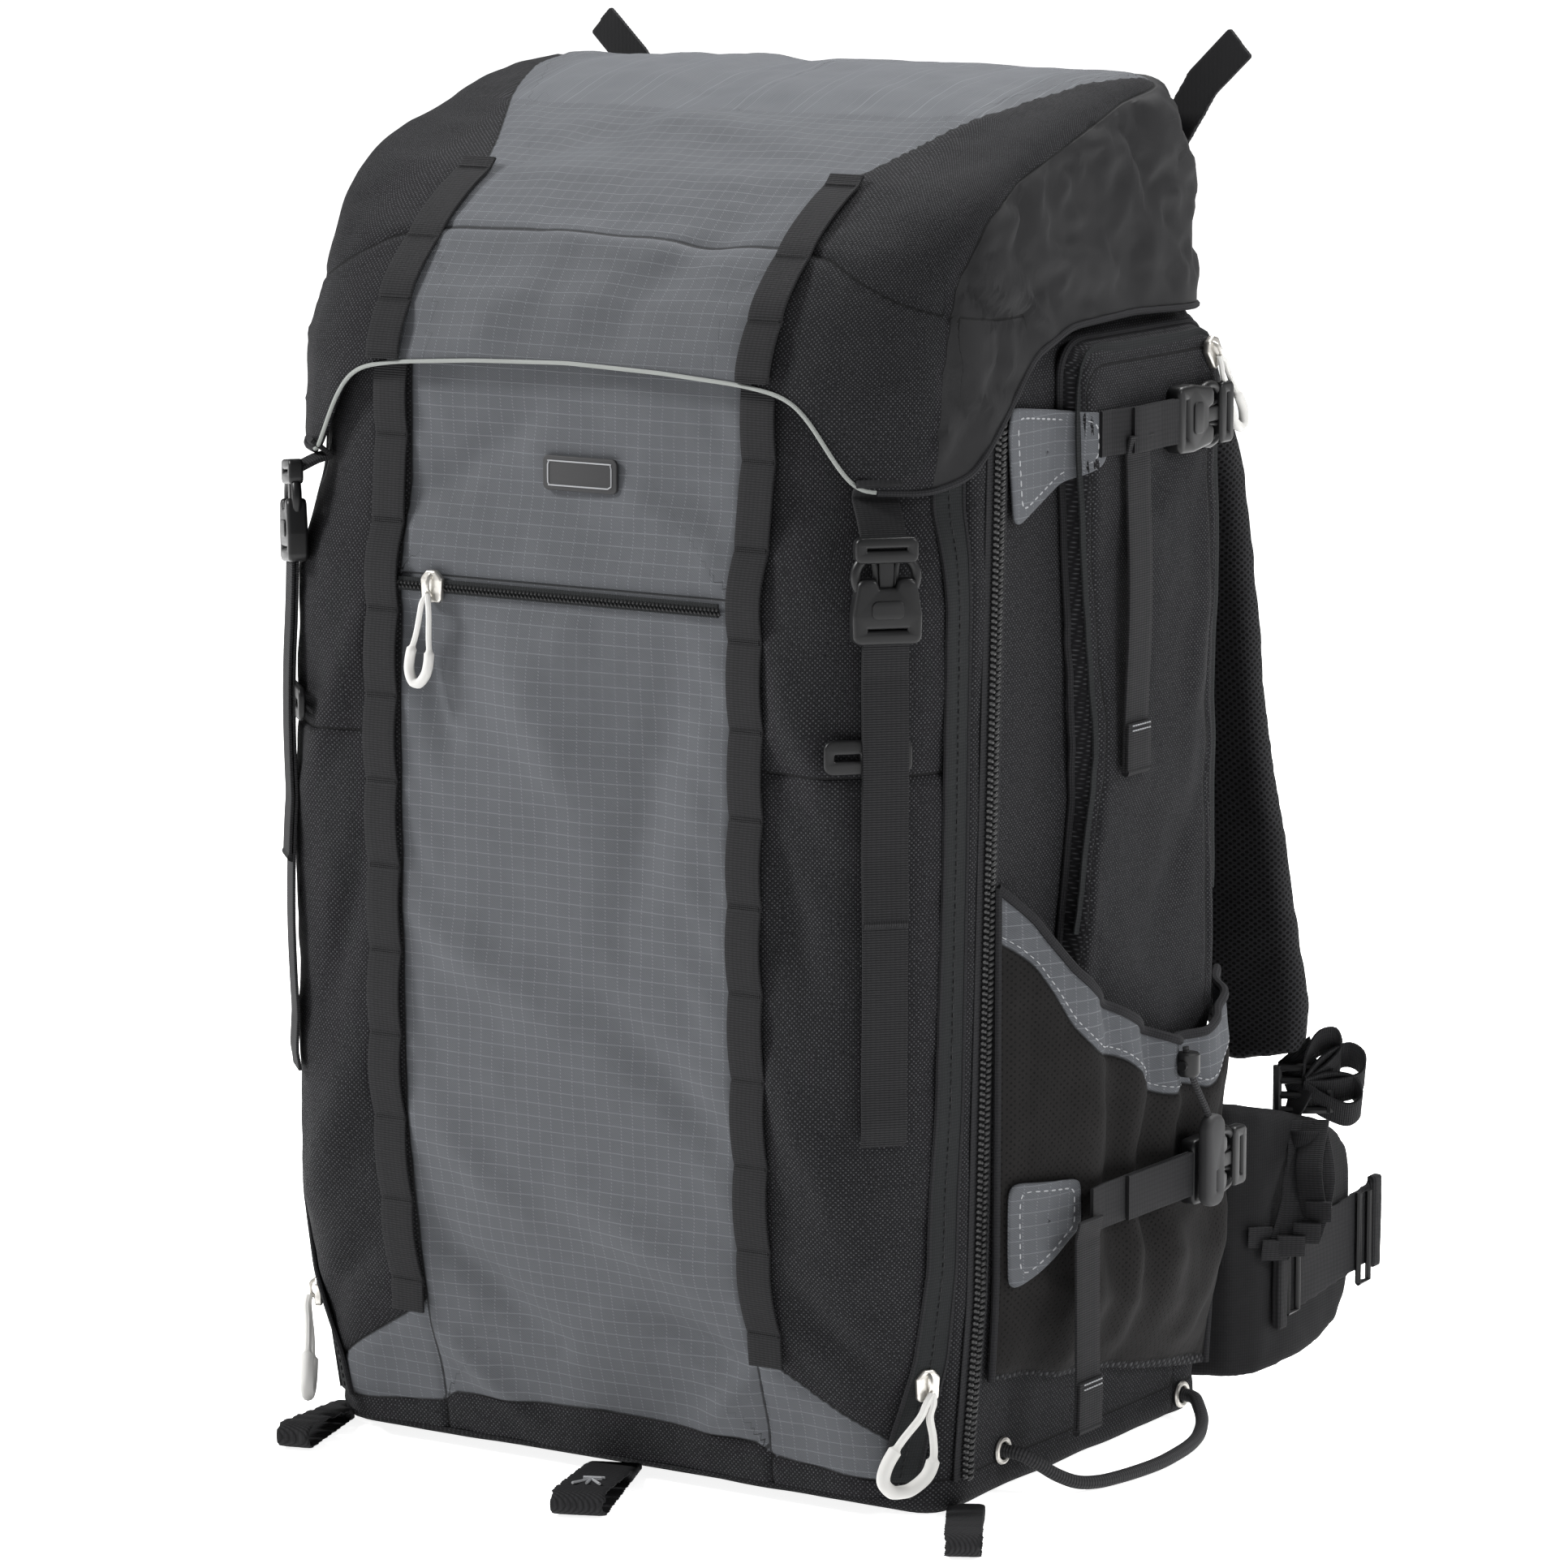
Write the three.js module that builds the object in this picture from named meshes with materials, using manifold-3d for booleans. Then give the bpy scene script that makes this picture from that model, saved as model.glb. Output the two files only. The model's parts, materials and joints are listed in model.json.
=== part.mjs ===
// Camera backpack standing on its base: a padded bag under a flip-over lid, with a zipped front
// pocket, side and bottle pockets, webbing, buckles, shock cords and a padded harness.
// Millimetres, +Z up, +X to the right seen from the front, and the front faces -Y.
import * as THREE from 'three';
import { mergeVertices } from 'three/addons/utils/BufferGeometryUtils.js';
import Module from 'manifold-3d';

const wasm = await Module();
wasm.setup();

// Clearances, cloth and webbing
const GAP = 0.3;
const CLOTH = 2.5;
const WEBBING = 1.5;
const WIDE_WEBBING = 25;
const NARROW_WEBBING = 20;
const DAISY_WEBBING = 17;
const BELT_WEBBING = 38;

// Padded main bag, its front and rear measured from the origin
const BAG_HALF_WIDTH = 166;
const BAG_FRONT = 119;
const BAG_LEAN = 21;
const BAG_REAR = 115;
const BAG_HEIGHT = 515;
const BAG_WALL = 8;
const BAG_CORNER = 16;
const BASE_EDGE = 9;
const BASE_WALL = 9;

// Back panel
const BACK_HALF_WIDTH = 142;
const BACK_BOTTOM = 18;
const BACK_TOP = 498;
const BACK_PAD = 10;
const BACK_CHANNEL = 26;

// Front pocket
const POCKET_BOTTOM = 9;
const POCKET_TOP = 505;
const POCKET_DEPTH = 46;
const POCKET_HALF_WIDTH = 166;
const POCKET_CORNER = 50;

// Lid, measured from its front face
const LID_BOTTOM = 440;
const LID_HEIGHT = 170;
const LID_FRONT = 161.2;
const LID_DEPTH = 282.2;
const LID_HALF_WIDTH = 172.5;
const LID_FRONT_CORNER = 66;
const LID_REAR_CORNER = 50;
const LID_SEAM = 164.5;

// Daisy chains
const DAISY_CENTRE = 94;
const DAISY_BOTTOM = 66;
const DAISY_TOP = 491;
const LID_DAISY_START = 489;

// Label and front zip
const LABEL_WIDTH = 37;
const LABEL_HEIGHT = 14;
const LABEL_THICKNESS = 2;
const LABEL_CENTRE = { x: 4.5, z: 446 };
const ZIP_LEVEL = 394;
const ZIP_LEFT = -85;
const ZIP_RIGHT = 81;
const ZIP_BAND = 6;
const SLIDER = { width: 8, length: 11, thickness: 4 };
const PULL = { cord: 2.6, length: 40, width: 12 };
const LARGE_PULL = { cord: 2.8, length: 46, width: 27 };
const FRONT_SLIDER_X = -66;

// Side zips
const COIL_WIDTH = 8;
const COIL_THICKNESS = 2.4;
const COIL_TOP = { y: -81, z: 484 };
const COIL_FOOT = { y: -99, z: 14 };
const GUSSET_BAND = { near: 2, far: 16, thickness: 1.2 };
const GUSSET_TOP = 470;
const GUSSET_FOOT = 50;
const GUSSET_SLIDER = 61;

// Front straps, buckles and gear hooks
const STRAP_TURN = 46;
const STRAP_END = 170;
const STRAP_TAB = 22;
const BUCKLE = { width: 26, length: 42, thickness: 9, bar: 4 };
const RIGHT_BUCKLE = { foot: 386, stand: 6.2, lean: 0 };
const LEFT_BUCKLE = { foot: 398, stand: 5.2, lean: 7 };
const HOOK = { width: 38, height: 13, thickness: 3, level: 336.5, offset: -7 };

// Upper side pocket, in the plane of the bag's side
const SIDE_POCKET_DEPTH = 12;
const SIDE_POCKET_TOP = 501;
const SIDE_POCKET_FOOT = 170;
const SIDE_POCKET_REAR = 92;
const SIDE_POCKET_FRONT = { top: -34, middle: -20, foot: -40 };
const SIDE_POCKET_BEND = 300;
const SIDE_POCKET_CORNER = 16;
const SIDE_SLIDER = { y: 79, z: 488, tilt: 55 };

// Side compression straps
const SIDE_BUCKLE = { length: 48, width: 26, thickness: 8, bar: 4 };
const SIDE_BUCKLE_Y = 41;
const UPPER_STRAP_Z = 461;
const UPPER_TAIL = { y: 5, end: 312 };
const LOWER_STRAP_Z = 127;
const LOWER_TAIL = { y: -53, end: 32 };

// Bottle pocket
const BOTTLE_FRONT = -84.5;
const BOTTLE_REAR = 110;
const BOTTLE_BULGE = 24;
const BOTTLE_GATHERS = 6;
const BOTTLE_GATHER_DEPTH = 1.6;
const BOTTLE_PINCH = 0.24;
const BOTTLE_PINCH_REACH = 24;
const BOTTLE_RIM = 187;
const BOTTLE_FOOT = 38;

// Draw cord of the bottle pocket
const LOCK = { y: 32, z: 178, radius: 6.5, length: 10 };
const DRAW_CORD = 3;
const CORD_END = { width: 11, length: 38, thickness: 8 };

// Shock cords and their eyelets
const SHOCK_CORD = 6;
const EYELET = { hole: 3.6, front: 7.5, rear: 5.4, thickness: 1.6 };
const FRONT_EYELET = { y: -67, z: 20 };
const REAR_EYELET = { y: 92, z: 10.4 };

// Webbing loops at the base
const LOOP_RISE = 12;
const TRIPOD_LOOP = { width: WIDE_WEBBING, length: 84, x: -3, y: -122, turn: 22.5 };
const CORNER_LOOP = { width: 17, length: 80, x: 163, y: -98, turn: 30 };
const LEFT_LOOP_TURN = 16;

// Harness
const HARNESS_PAD = 15;
const HARNESS_WIDTH = 66;
const HARNESS_ROOT = 86;
const HARNESS_SPREAD = 66;
const HARNESS_REACH = 73;
const HARNESS_TOP = 489;
const BELT_PAD = 13;
const BELT_HEIGHT = 128;
const BELT_BOTTOM = 9;
const BELT_REACH = 233;
const BELT_SIDE = 169.5;
const BELT_WEBBING_END = 254;
const LID_TAIL = { width: 17, thickness: 3 };

// Finishes, from the photograph
const finish = (color, roughness, metalness = 0) => ({ color, roughness, metalness });
const BLACK_CLOTH = finish(0x232324, 0.85);
const GREY_CLOTH = finish(0x5a5d61, 0.75);
const BLACK_WEBBING = finish(0x1b1b1d, 0.8);
const BLACK_PLASTIC = finish(0x1c1d1f, 0.35);
const BLACK_MESH = finish(0x2a2829, 0.9);
const ZIP_TAPE = finish(0x2c3032, 0.8);
const BLACK_RUBBER = finish(0x1e1f20, 0.6);

// Basic shapes
const vec = (x, y, z) => new THREE.Vector3(x, y, z);
const mix = THREE.MathUtils.lerp;
const radians = THREE.MathUtils.degToRad;

// Reads a column of a table at a key, with straight lines between its rows
function between(rows, key, column, at) {
  const last = rows.length - 1;
  let i = rows.findIndex((row) => row[key] >= at);
  if (i <= 0) return i < 0 ? rows[last][column] : rows[0][column];
  const share = (at - rows[i - 1][key]) / (rows[i][key] - rows[i - 1][key]);
  return mix(rows[i - 1][column], rows[i][column], share);
}

function geometryFrom(points, faces) {
  const geometry = new THREE.BufferGeometry().setFromPoints(points);
  let volume = 0;
  for (let i = 0; i < faces.length; i += 3) {
    const [a, b, c] = [points[faces[i]], points[faces[i + 1]], points[faces[i + 2]]];
    volume += a.dot(b.clone().cross(c));
  }
  geometry.setIndex(volume < 0 ? faces.slice().reverse() : faces);
  return geometry;
}

// Closed skin through rings of equally many points, with a fan over each end
function loft(rings) {
  const count = rings[0].length;
  const points = rings.flat();
  const faces = [];
  for (let r = 0; r + 1 < rings.length; r++) {
    for (let i = 0; i < count; i++) {
      const a = r * count + i;
      const b = r * count + ((i + 1) % count);
      faces.push(a, b, b + count, a, b + count, a + count);
    }
  }
  for (const [start, ring] of [[0, rings[0]], [(rings.length - 1) * count, rings.at(-1)]]) {
    const hub = points.push(ring.reduce((sum, p) => sum.add(p), vec(0, 0, 0)).divideScalar(count)) - 1;
    for (let i = 0; i < count; i++) {
      const edge = [start + i, start + ((i + 1) % count)];
      faces.push(...(start ? edge : edge.reverse()), hub);
    }
  }
  return geometryFrom(points, faces);
}

// Polygon with rounded corners, each corner given as [across, up, radius]
function rounded(corners, steps = 4) {
  const points = [];
  corners.forEach(([x, y, radius], i) => {
    const here = new THREE.Vector2(x, y);
    const before = new THREE.Vector2(...corners.at(i - 1)).sub(here).normalize();
    const after = new THREE.Vector2(...corners[(i + 1) % corners.length]).sub(here).normalize();
    if (!radius) {
      points.push([x, y]);
      return;
    }
    const half = Math.acos(THREE.MathUtils.clamp(before.dot(after), -1, 1)) / 2;
    const middle = before.clone().add(after).normalize();
    const centre = here.clone().addScaledVector(middle, radius / Math.sin(half));
    const start = here.clone().addScaledVector(before, radius / Math.tan(half)).sub(centre).angle();
    let turn = here.clone().addScaledVector(after, radius / Math.tan(half)).sub(centre).angle() - start;
    turn -= 2 * Math.PI * Math.round(turn / (2 * Math.PI));
    for (let s = 0; s <= steps; s++) {
      const angle = start + (turn * s) / steps;
      points.push([centre.x + radius * Math.cos(angle), centre.y + radius * Math.sin(angle)]);
    }
  });
  return points;
}

// Webbing along a path, lifted off it by a clearance and of even thickness
function ribbon(path, across, width, thickness = WEBBING, lift = GAP) {
  const half = across.clone().normalize().multiplyScalar(width / 2);
  const normals = path.slice(1).map((p, i) => p.clone().sub(path[i]).cross(half).normalize());
  return loft(path.map((p, i) => {
    const before = normals[Math.max(i - 1, 0)];
    const after = normals[Math.min(i, normals.length - 1)];
    const out = before.clone().add(after).normalize();
    out.divideScalar(out.dot(before));
    const low = p.clone().addScaledVector(out, lift);
    const high = p.clone().addScaledVector(out, lift + thickness);
    return [low.clone().sub(half), low.clone().add(half), high.clone().add(half), high.sub(half)];
  }));
}

// Padded strip along a path, with rounded edges and a width of its own at each point
function padding(rows, across, thickness) {
  const edge = thickness / 2;
  const profile = [[-1, 0], [-1, -0.6], [-0.6, -1], [0.6, -1], [1, -0.6], [1, 0.6], [0.6, 1], [-0.6, 1], [-1, 0.6]];
  return loft(rows.map((row, i) => {
    const before = rows[Math.max(i - 1, 0)].at;
    const after = rows[Math.min(i + 1, rows.length - 1)].at;
    const side = (row.across || across).clone().normalize();
    const out = after.clone().sub(before).cross(side).normalize();
    const swell = edge * (row.swell ?? 1);
    return profile.map(([s, n]) => {
      const reach = Math.sign(s) * (row.width / 2 - edge * (1 - Math.abs(s)));
      return row.at.clone().addScaledVector(side, reach).addScaledVector(out, n * swell);
    });
  }));
}

// Flat outline given thickness along the last of its three directions
function plate(outline, thickness, origin, right, up, holes = []) {
  const shape = new THREE.Shape(outline.map(([x, y]) => new THREE.Vector2(x, y)));
  holes.forEach((hole) => shape.holes.push(new THREE.Path(hole.map(([x, y]) => new THREE.Vector2(x, y)))));
  const geometry = new THREE.ExtrudeGeometry(shape, { depth: thickness, bevelEnabled: false });
  const place = new THREE.Matrix4().makeBasis(right, up, right.clone().cross(up));
  return geometry.applyMatrix4(place.setPosition(origin));
}

function box(low, high) {
  const size = high.clone().sub(low);
  return new THREE.BoxGeometry(size.x, size.y, size.z).translate(...low.clone().add(high).divideScalar(2).toArray());
}

function cord(points, diameter, sides, steps) {
  const section = new THREE.Shape(Array.from({ length: sides }, (_, i) => {
    const angle = (2 * Math.PI * i) / sides;
    return new THREE.Vector2(Math.cos(angle), Math.sin(angle)).multiplyScalar(diameter / 2);
  }));
  const extrudePath = new THREE.CatmullRomCurve3(points.map((p) => vec(...p)));
  return new THREE.ExtrudeGeometry(section, { steps, extrudePath });
}

// Joining and cutting of closed solids
function solid(geometry) {
  const plain = geometry.clone();
  plain.deleteAttribute('normal');
  plain.deleteAttribute('uv');
  const merged = mergeVertices(plain, 1e-4);
  const vertProperties = new Float32Array(merged.getAttribute('position').array);
  const triVerts = new Uint32Array(merged.index.array);
  return new wasm.Manifold(new wasm.Mesh({ numProp: 3, vertProperties, triVerts }));
}

function geometryOf(manifold) {
  const mesh = manifold.getMesh();
  const geometry = new THREE.BufferGeometry();
  geometry.setAttribute('position', new THREE.BufferAttribute(mesh.vertProperties, 3));
  return geometry.setIndex(new THREE.BufferAttribute(mesh.triVerts, 1));
}

const cut = (first, ...rest) => geometryOf(rest.reduce((body, tool) => body.subtract(solid(tool)), solid(first)));
const join = (first, ...rest) => geometryOf(rest.reduce((body, more) => body.add(solid(more)), solid(first)));
const keep = (first, second) => geometryOf(solid(first).intersect(solid(second)));

function mirrored(geometry) {
  const flipped = (geometry.index ? geometry.toNonIndexed() : geometry.clone()).scale(-1, 1, 1);
  const position = flipped.getAttribute('position');
  for (let i = 0; i < position.count; i += 3) {
    const [a, b] = [i, i + 1].map((v) => new THREE.Vector3().fromBufferAttribute(position, v));
    position.setXYZ(i, b.x, b.y, b.z);
    position.setXYZ(i + 1, a.x, a.y, a.z);
  }
  return flipped;
}

// Main bag sections, as shares of its height, half width, lean and front and rear corners
const BAG_SECTIONS = [
  { rise: 0, width: 0.976, corner: 1.1, tail: 1 },
  { rise: 0.05, width: 0.976, corner: 1.1, tail: 1 },
  { rise: 0.18, width: 1, corner: 0.55, tail: 1 },
  { rise: 0.945, width: 1, corner: 0.35, tail: 1 },
  { rise: 1, width: 0.96, corner: 1.5, tail: 3 },
].map(({ rise, width, corner, tail }) => ({
  z: BAG_HEIGHT * rise,
  halfWidth: BAG_HALF_WIDTH * width,
  front: BAG_FRONT - BAG_LEAN * rise,
  corner: BAG_CORNER * corner,
  tail: BAG_CORNER * tail,
}));

const bagSide = (z) => between(BAG_SECTIONS, 'z', 'halfWidth', z);
const bagFront = (z) => between(BAG_SECTIONS, 'z', 'front', z);

function bagRing(level, inset, z = level) {
  const x = bagSide(level) - inset;
  const front = inset - bagFront(level);
  const rear = BAG_REAR - inset;
  const nose = Math.max(between(BAG_SECTIONS, 'z', 'corner', level) - inset, 1);
  const tail = between(BAG_SECTIONS, 'z', 'tail', level) - inset;
  return rounded([[x, front, nose], [x, rear, tail], [-x, rear, tail], [-x, front, nose]])
    .map(([across, y]) => vec(across, y, z));
}

// Outside of the bag, larger by a clearance where another piece is cut to fit it
function bagHull(grow = 0) {
  const levels = [0, 0.25, 0.5, 0.75, 1].map((share) => {
    const angle = (share * Math.PI) / 2;
    const z = BASE_EDGE * (1 - Math.cos(angle));
    return bagRing(z, BASE_EDGE * (1 - Math.sin(angle)) - grow, z - grow);
  });
  const upper = BAG_SECTIONS.slice(1).map(({ z }) => bagRing(z, -grow, z === BAG_HEIGHT ? z + grow : z));
  return loft([...levels, ...upper]);
}

function mainBody() {
  const levels = [BASE_WALL, ...BAG_SECTIONS.slice(1).map(({ z }) => z)];
  const mouth = bagRing(BAG_HEIGHT, BAG_WALL, BAG_HEIGHT + BAG_WALL);
  return cut(bagHull(), loft([...levels.map((z) => bagRing(z, BAG_WALL)), mouth]));
}

// Front pocket sections, as shares of its height, depth, half width and corner
const POCKET_SECTIONS = [
  { rise: 0, reach: 0.304, width: 0.97, corner: 0.8 },
  { rise: 0.05, reach: 0.37, width: 0.98, corner: 0.8 },
  { rise: 0.125, reach: 0.63, width: 1, corner: 0.84 },
  { rise: 0.206, reach: 0.826, width: 1.01, corner: 0.9 },
  { rise: 0.347, reach: 0.967, width: 1.014, corner: 1 },
  { rise: 0.548, reach: 1, width: 1.01, corner: 1.04 },
  { rise: 0.789, reach: 0.98, width: 1, corner: 1.06 },
  { rise: 0.825, reach: 0.885, width: 0.993, corner: 1.21 },
  { rise: 0.861, reach: 0.79, width: 0.985, corner: 1.36 },
  { rise: 0.984, reach: 0.75, width: 0.978, corner: 1.4 },
  { rise: 1, reach: 0.65, width: 0.965, corner: 1.36 },
].map(({ rise, reach, width, corner }) => ({
  z: mix(POCKET_BOTTOM, POCKET_TOP, rise),
  front: BAG_FRONT + POCKET_DEPTH * reach,
  halfWidth: POCKET_HALF_WIDTH * width,
  corner: POCKET_CORNER * corner,
}));

const pocketFront = (z) => between(POCKET_SECTIONS, 'z', 'front', z);

function pocketRow(z) {
  const at = (column) => between(POCKET_SECTIONS, 'z', column, z);
  return { z, front: at('front'), halfWidth: at('halfWidth'), corner: at('corner') };
}

// Right half of the pocket, from its middle round the broad corner to the bag's front
function pocketRing({ z, front, halfWidth, corner }, wall, rear) {
  const radius = corner - wall;
  const centre = [halfWidth - corner, corner - front];
  const sine = (rear + centre[1]) / radius;
  const steps = 7;
  const points = [[0, wall - front]];
  const last = sine > 0 ? Math.asin(sine) : 0;
  const turns = sine > 0 ? steps + 1 : steps;
  for (let step = 0; step <= turns; step++) {
    const angle = mix(Math.PI / 2, last, step / turns);
    points.push([centre[0] + radius * Math.cos(angle), centre[1] - radius * Math.sin(angle)]);
  }
  if (sine <= 0) points.push([halfWidth - wall, -rear]);
  return [...points, [0, -rear]].map(([x, y]) => vec(x, y, z));
}

function frontPocket() {
  const outer = loft(POCKET_SECTIONS.map((row) => pocketRing(row, 0, bagFront(row.z) + GAP)));
  const low = POCKET_SECTIONS[0].z + CLOTH;
  const high = POCKET_SECTIONS.at(-1).z - CLOTH;
  const inside = POCKET_SECTIONS.filter((row) => row.z > low && row.z < high);
  const levels = [low, ...inside.map((row) => row.z), high];
  const inner = loft(levels.map((z) => pocketRing(pocketRow(z), CLOTH, bagFront(z) - CLOTH)));
  return cut(join(outer, mirrored(outer)), inner, mirrored(inner));
}

// Lid sections from the rim to the crown, as shares of its height, depth, half width and corners
const LID_SECTIONS = [
  { setback: 0.004, rear: 0, width: 1, frontRise: -0.012, rearRise: -0.012, crown: 0, corner: 1 },
  { setback: 0, rear: 0.003, width: 0.995, frontRise: 0.302, rearRise: 0.302, crown: 0, corner: 1.04 },
  { setback: 0.04, rear: 0.006, width: 0.985, frontRise: 0.465, rearRise: 0.523, crown: 0.01, corner: 1.1 },
  { setback: 0.121, rear: 0.01, width: 0.977, frontRise: 0.61, rearRise: 0.727, crown: 0.03, corner: 0.8 },
  { setback: 0.195, rear: 0.028, width: 0.966, frontRise: 0.698, rearRise: 0.884, crown: 0.07, corner: 0.55 },
  { setback: 0.259, rear: 0.06, width: 0.945, frontRise: 0.762, rearRise: 0.965, crown: 0.07, corner: 0.45 },
  { setback: 0.316, rear: 0.095, width: 0.89, frontRise: 0.797, rearRise: 0.994, crown: 0.07, corner: 0.4 },
  { setback: 0.429, rear: 0.155, width: 0.7, frontRise: 0.872, rearRise: 0.994, crown: 0.04, corner: 0.35 },
  { setback: 0.57, rear: 0.25, width: 0.3, frontRise: 0.948, rearRise: 0.994, crown: 0.012, corner: 0.15 },
];

const lidY = (share) => LID_DEPTH * share - LID_FRONT;
const lidZ = (share) => LID_BOTTOM + LID_HEIGHT * share;

function lidRing(row, wall) {
  const x = LID_HALF_WIDTH * row.width - wall;
  const front = lidY(row.setback) + wall;
  const rear = lidY(1 - row.rear) - wall;
  const nose = LID_FRONT_CORNER * row.corner - wall;
  const tail = LID_REAR_CORNER * row.width - wall;
  const side = [0.4, 0.6, 0.8].map((share) => [x, mix(front, rear, share), 0]);
  const other = side.map(([across, y]) => [-across, y, 0]).reverse();
  const corners = [[x, front, nose], ...side, [x, rear, tail], [-x, rear, tail], ...other, [-x, front, nose]];
  return rounded(corners, 5).map(([across, y]) => {
    const share = (y - front) / (rear - front);
    const rise = mix(row.frontRise, row.rearRise, share) + row.crown * 4 * share * (1 - share);
    return vec(across, y, lidZ(rise) - (row.frontRise < 0 ? -wall : wall));
  });
}

// Lower edge of the lid's front flap, from its middle to its ears
const FLAP_EDGE = [
  { across: 0, rise: 0.314 },
  { across: 0.28, rise: 0.305 },
  { across: 0.51, rise: 0.289 },
  { across: 0.61, rise: 0.274 },
  { across: 0.676, rise: 0.244 },
  { across: 0.724, rise: 0.174 },
  { across: 0.778, rise: 0.075 },
  { across: 0.812, rise: 0.036 },
  { across: 1.1, rise: 0.024 },
];

// Lower edge of the hood's side, from the ear to the back
const HOOD_EDGE = [
  { setback: 0.11, rise: 0.03 },
  { setback: 0.192, rise: 0.07 },
  { setback: 0.284, rise: 0.215 },
  { setback: 0.355, rise: 0.331 },
  { setback: 0.4755, rise: 0.395 },
  { setback: 0.667, rise: 0.407 },
  { setback: 0.858, rise: 0.395 },
  { setback: 1.1, rise: 0.384 },
];

function lidShell() {
  const outer = loft(LID_SECTIONS.map((row) => lidRing(row, 0)));
  const inner = LID_SECTIONS.map((row) => lidRing(row, CLOTH));
  inner[0].forEach((point) => { point.z = lidZ(-0.1); });
  const floor = lidZ(-0.3);
  const right = FLAP_EDGE.map(({ across, rise }) => [across * LID_HALF_WIDTH, lidZ(rise)]);
  const left = right.slice(1).map(([x, z]) => [-x, z]);
  const reach = FLAP_EDGE.at(-1).across * LID_HALF_WIDTH;
  const flap = [[-reach, floor], [reach, floor], ...right.reverse(), ...left];
  const flapCut = plate(flap, LID_DEPTH / 4, vec(0, lidY(0.2), 0), vec(1, 0, 0), vec(0, 0, 1));
  const edge = HOOD_EDGE.map(({ setback, rise }) => [lidY(setback), lidZ(rise)]);
  const hood = [[edge[0][0], floor], [edge.at(-1)[0], floor], ...edge.slice().reverse()];
  const hoodCut = plate(hood, 2 * reach, vec(-reach, 0, 0), vec(0, 1, 0), vec(0, 0, 1));
  return cut(outer, loft(inner), flapCut, hoodCut);
}

function lidAndHood() {
  const shell = lidShell();
  const far = LID_DEPTH + LID_HEIGHT;
  const top = lidZ(1) + far;
  const seam = LID_SEAM;
  const lid = keep(shell, box(vec(-seam, -far, 0), vec(seam, far, top)));
  const hood = keep(shell, box(vec(seam + GAP, -far, 0), vec(far, far, top)));
  return { lid, hood };
}

// Height of the bag's own rows of webbing on the front pocket and on the lid
function frontDaisy() {
  const inner = POCKET_SECTIONS.map((row) => row.z).filter((z) => z > DAISY_BOTTOM && z < DAISY_TOP);
  const path = [DAISY_BOTTOM, ...inner, DAISY_TOP].map((z) => vec(DAISY_CENTRE, -pocketFront(z), z));
  return ribbon(path, vec(-1, 0, 0), DAISY_WEBBING);
}

function lidDaisy() {
  const rows = LID_SECTIONS.slice(0, 6).map((row) => ({ y: lidY(row.setback), z: lidZ(row.frontRise) }));
  const start = { z: LID_DAISY_START, y: between(rows, 'z', 'y', LID_DAISY_START) };
  const path = [start, ...rows.filter((row) => row.z > LID_DAISY_START)];
  return ribbon(path.map(({ y, z }) => vec(DAISY_CENTRE, y, z)), vec(-1, 0, 0), DAISY_WEBBING);
}

function labelPatch() {
  const [w, h] = [LABEL_WIDTH / 2, LABEL_HEIGHT / 2];
  const outline = rounded([[w, -h, 1], [w, h, 1], [-w, h, 1], [-w, -h, 1]], 2);
  const seat = -pocketFront(LABEL_CENTRE.z - h) - GAP;
  return plate(outline, LABEL_THICKNESS, vec(LABEL_CENTRE.x, seat, LABEL_CENTRE.z), vec(1, 0, 0), vec(0, 0, 1));
}

// Cord loop of a zip pull hanging from the origin: straight sides down to a round grip
function pullLoop({ cord: thick, length, width }) {
  const eye = (top, shoulder, radius) => {
    const points = [[shoulder, -top]];
    for (let step = 0; step <= 10; step++) {
      const angle = (-step / 10) * Math.PI;
      points.push([radius * Math.cos(angle), width / 2 - length + radius * Math.sin(angle)]);
    }
    return [...points, [-shoulder, -top]].reverse();
  };
  return { outline: eye(0, thick, width / 2), hole: eye(thick, thick / 8, width / 2 - thick) };
}

// Slider with its pull, seated at a point and facing along the outward direction
function sliderAndPull(seat, right, down, tilt, pull = PULL) {
  const up = down.clone().negate();
  const { width, length, thickness } = SLIDER;
  const [w, h] = [width / 2, length / 2];
  const body = plate(rounded([[w, -h, 2], [w, h, 2], [-w, h, 2], [-w, -h, 2]], 2), thickness, seat, right, up);
  const { outline, hole } = pullLoop(pull);
  const turned = (points) => points.map(([x, y]) => [
    x * Math.cos(tilt) - y * Math.sin(tilt), x * Math.sin(tilt) + y * Math.cos(tilt)]);
  const out = right.clone().cross(up);
  const hang = seat.clone().addScaledVector(out, thickness - pull.cord / 2);
  return join(body, plate(turned(outline), pull.cord, hang, right, up, [turned(hole)]));
}

function frontZip() {
  const seat = -pocketFront(ZIP_LEVEL) - GAP;
  const band = box(vec(ZIP_LEFT, seat - WEBBING, ZIP_LEVEL - ZIP_BAND / 2), vec(ZIP_RIGHT, seat, ZIP_LEVEL + ZIP_BAND / 2));
  const pull = sliderAndPull(vec(FRONT_SLIDER_X, seat, ZIP_LEVEL), vec(1, 0, 0), vec(0, 0, -1), radians(-10));
  return join(band, pull);
}

// Point of the pocket's side at a distance ahead of the bag's front, and its directions there
function gussetWall(z, ahead) {
  const { front, halfWidth, corner } = pocketRow(z);
  const y = bagFront(z) + GAP + ahead;
  const sine = Math.max((y - front + corner) / corner, 0);
  const cosine = Math.sqrt(1 - sine ** 2);
  const out = vec(cosine, -sine, 0);
  const at = vec(halfWidth - corner + corner * cosine, -y, z);
  return { at, out, along: vec(sine, cosine, 0) };
}

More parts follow.
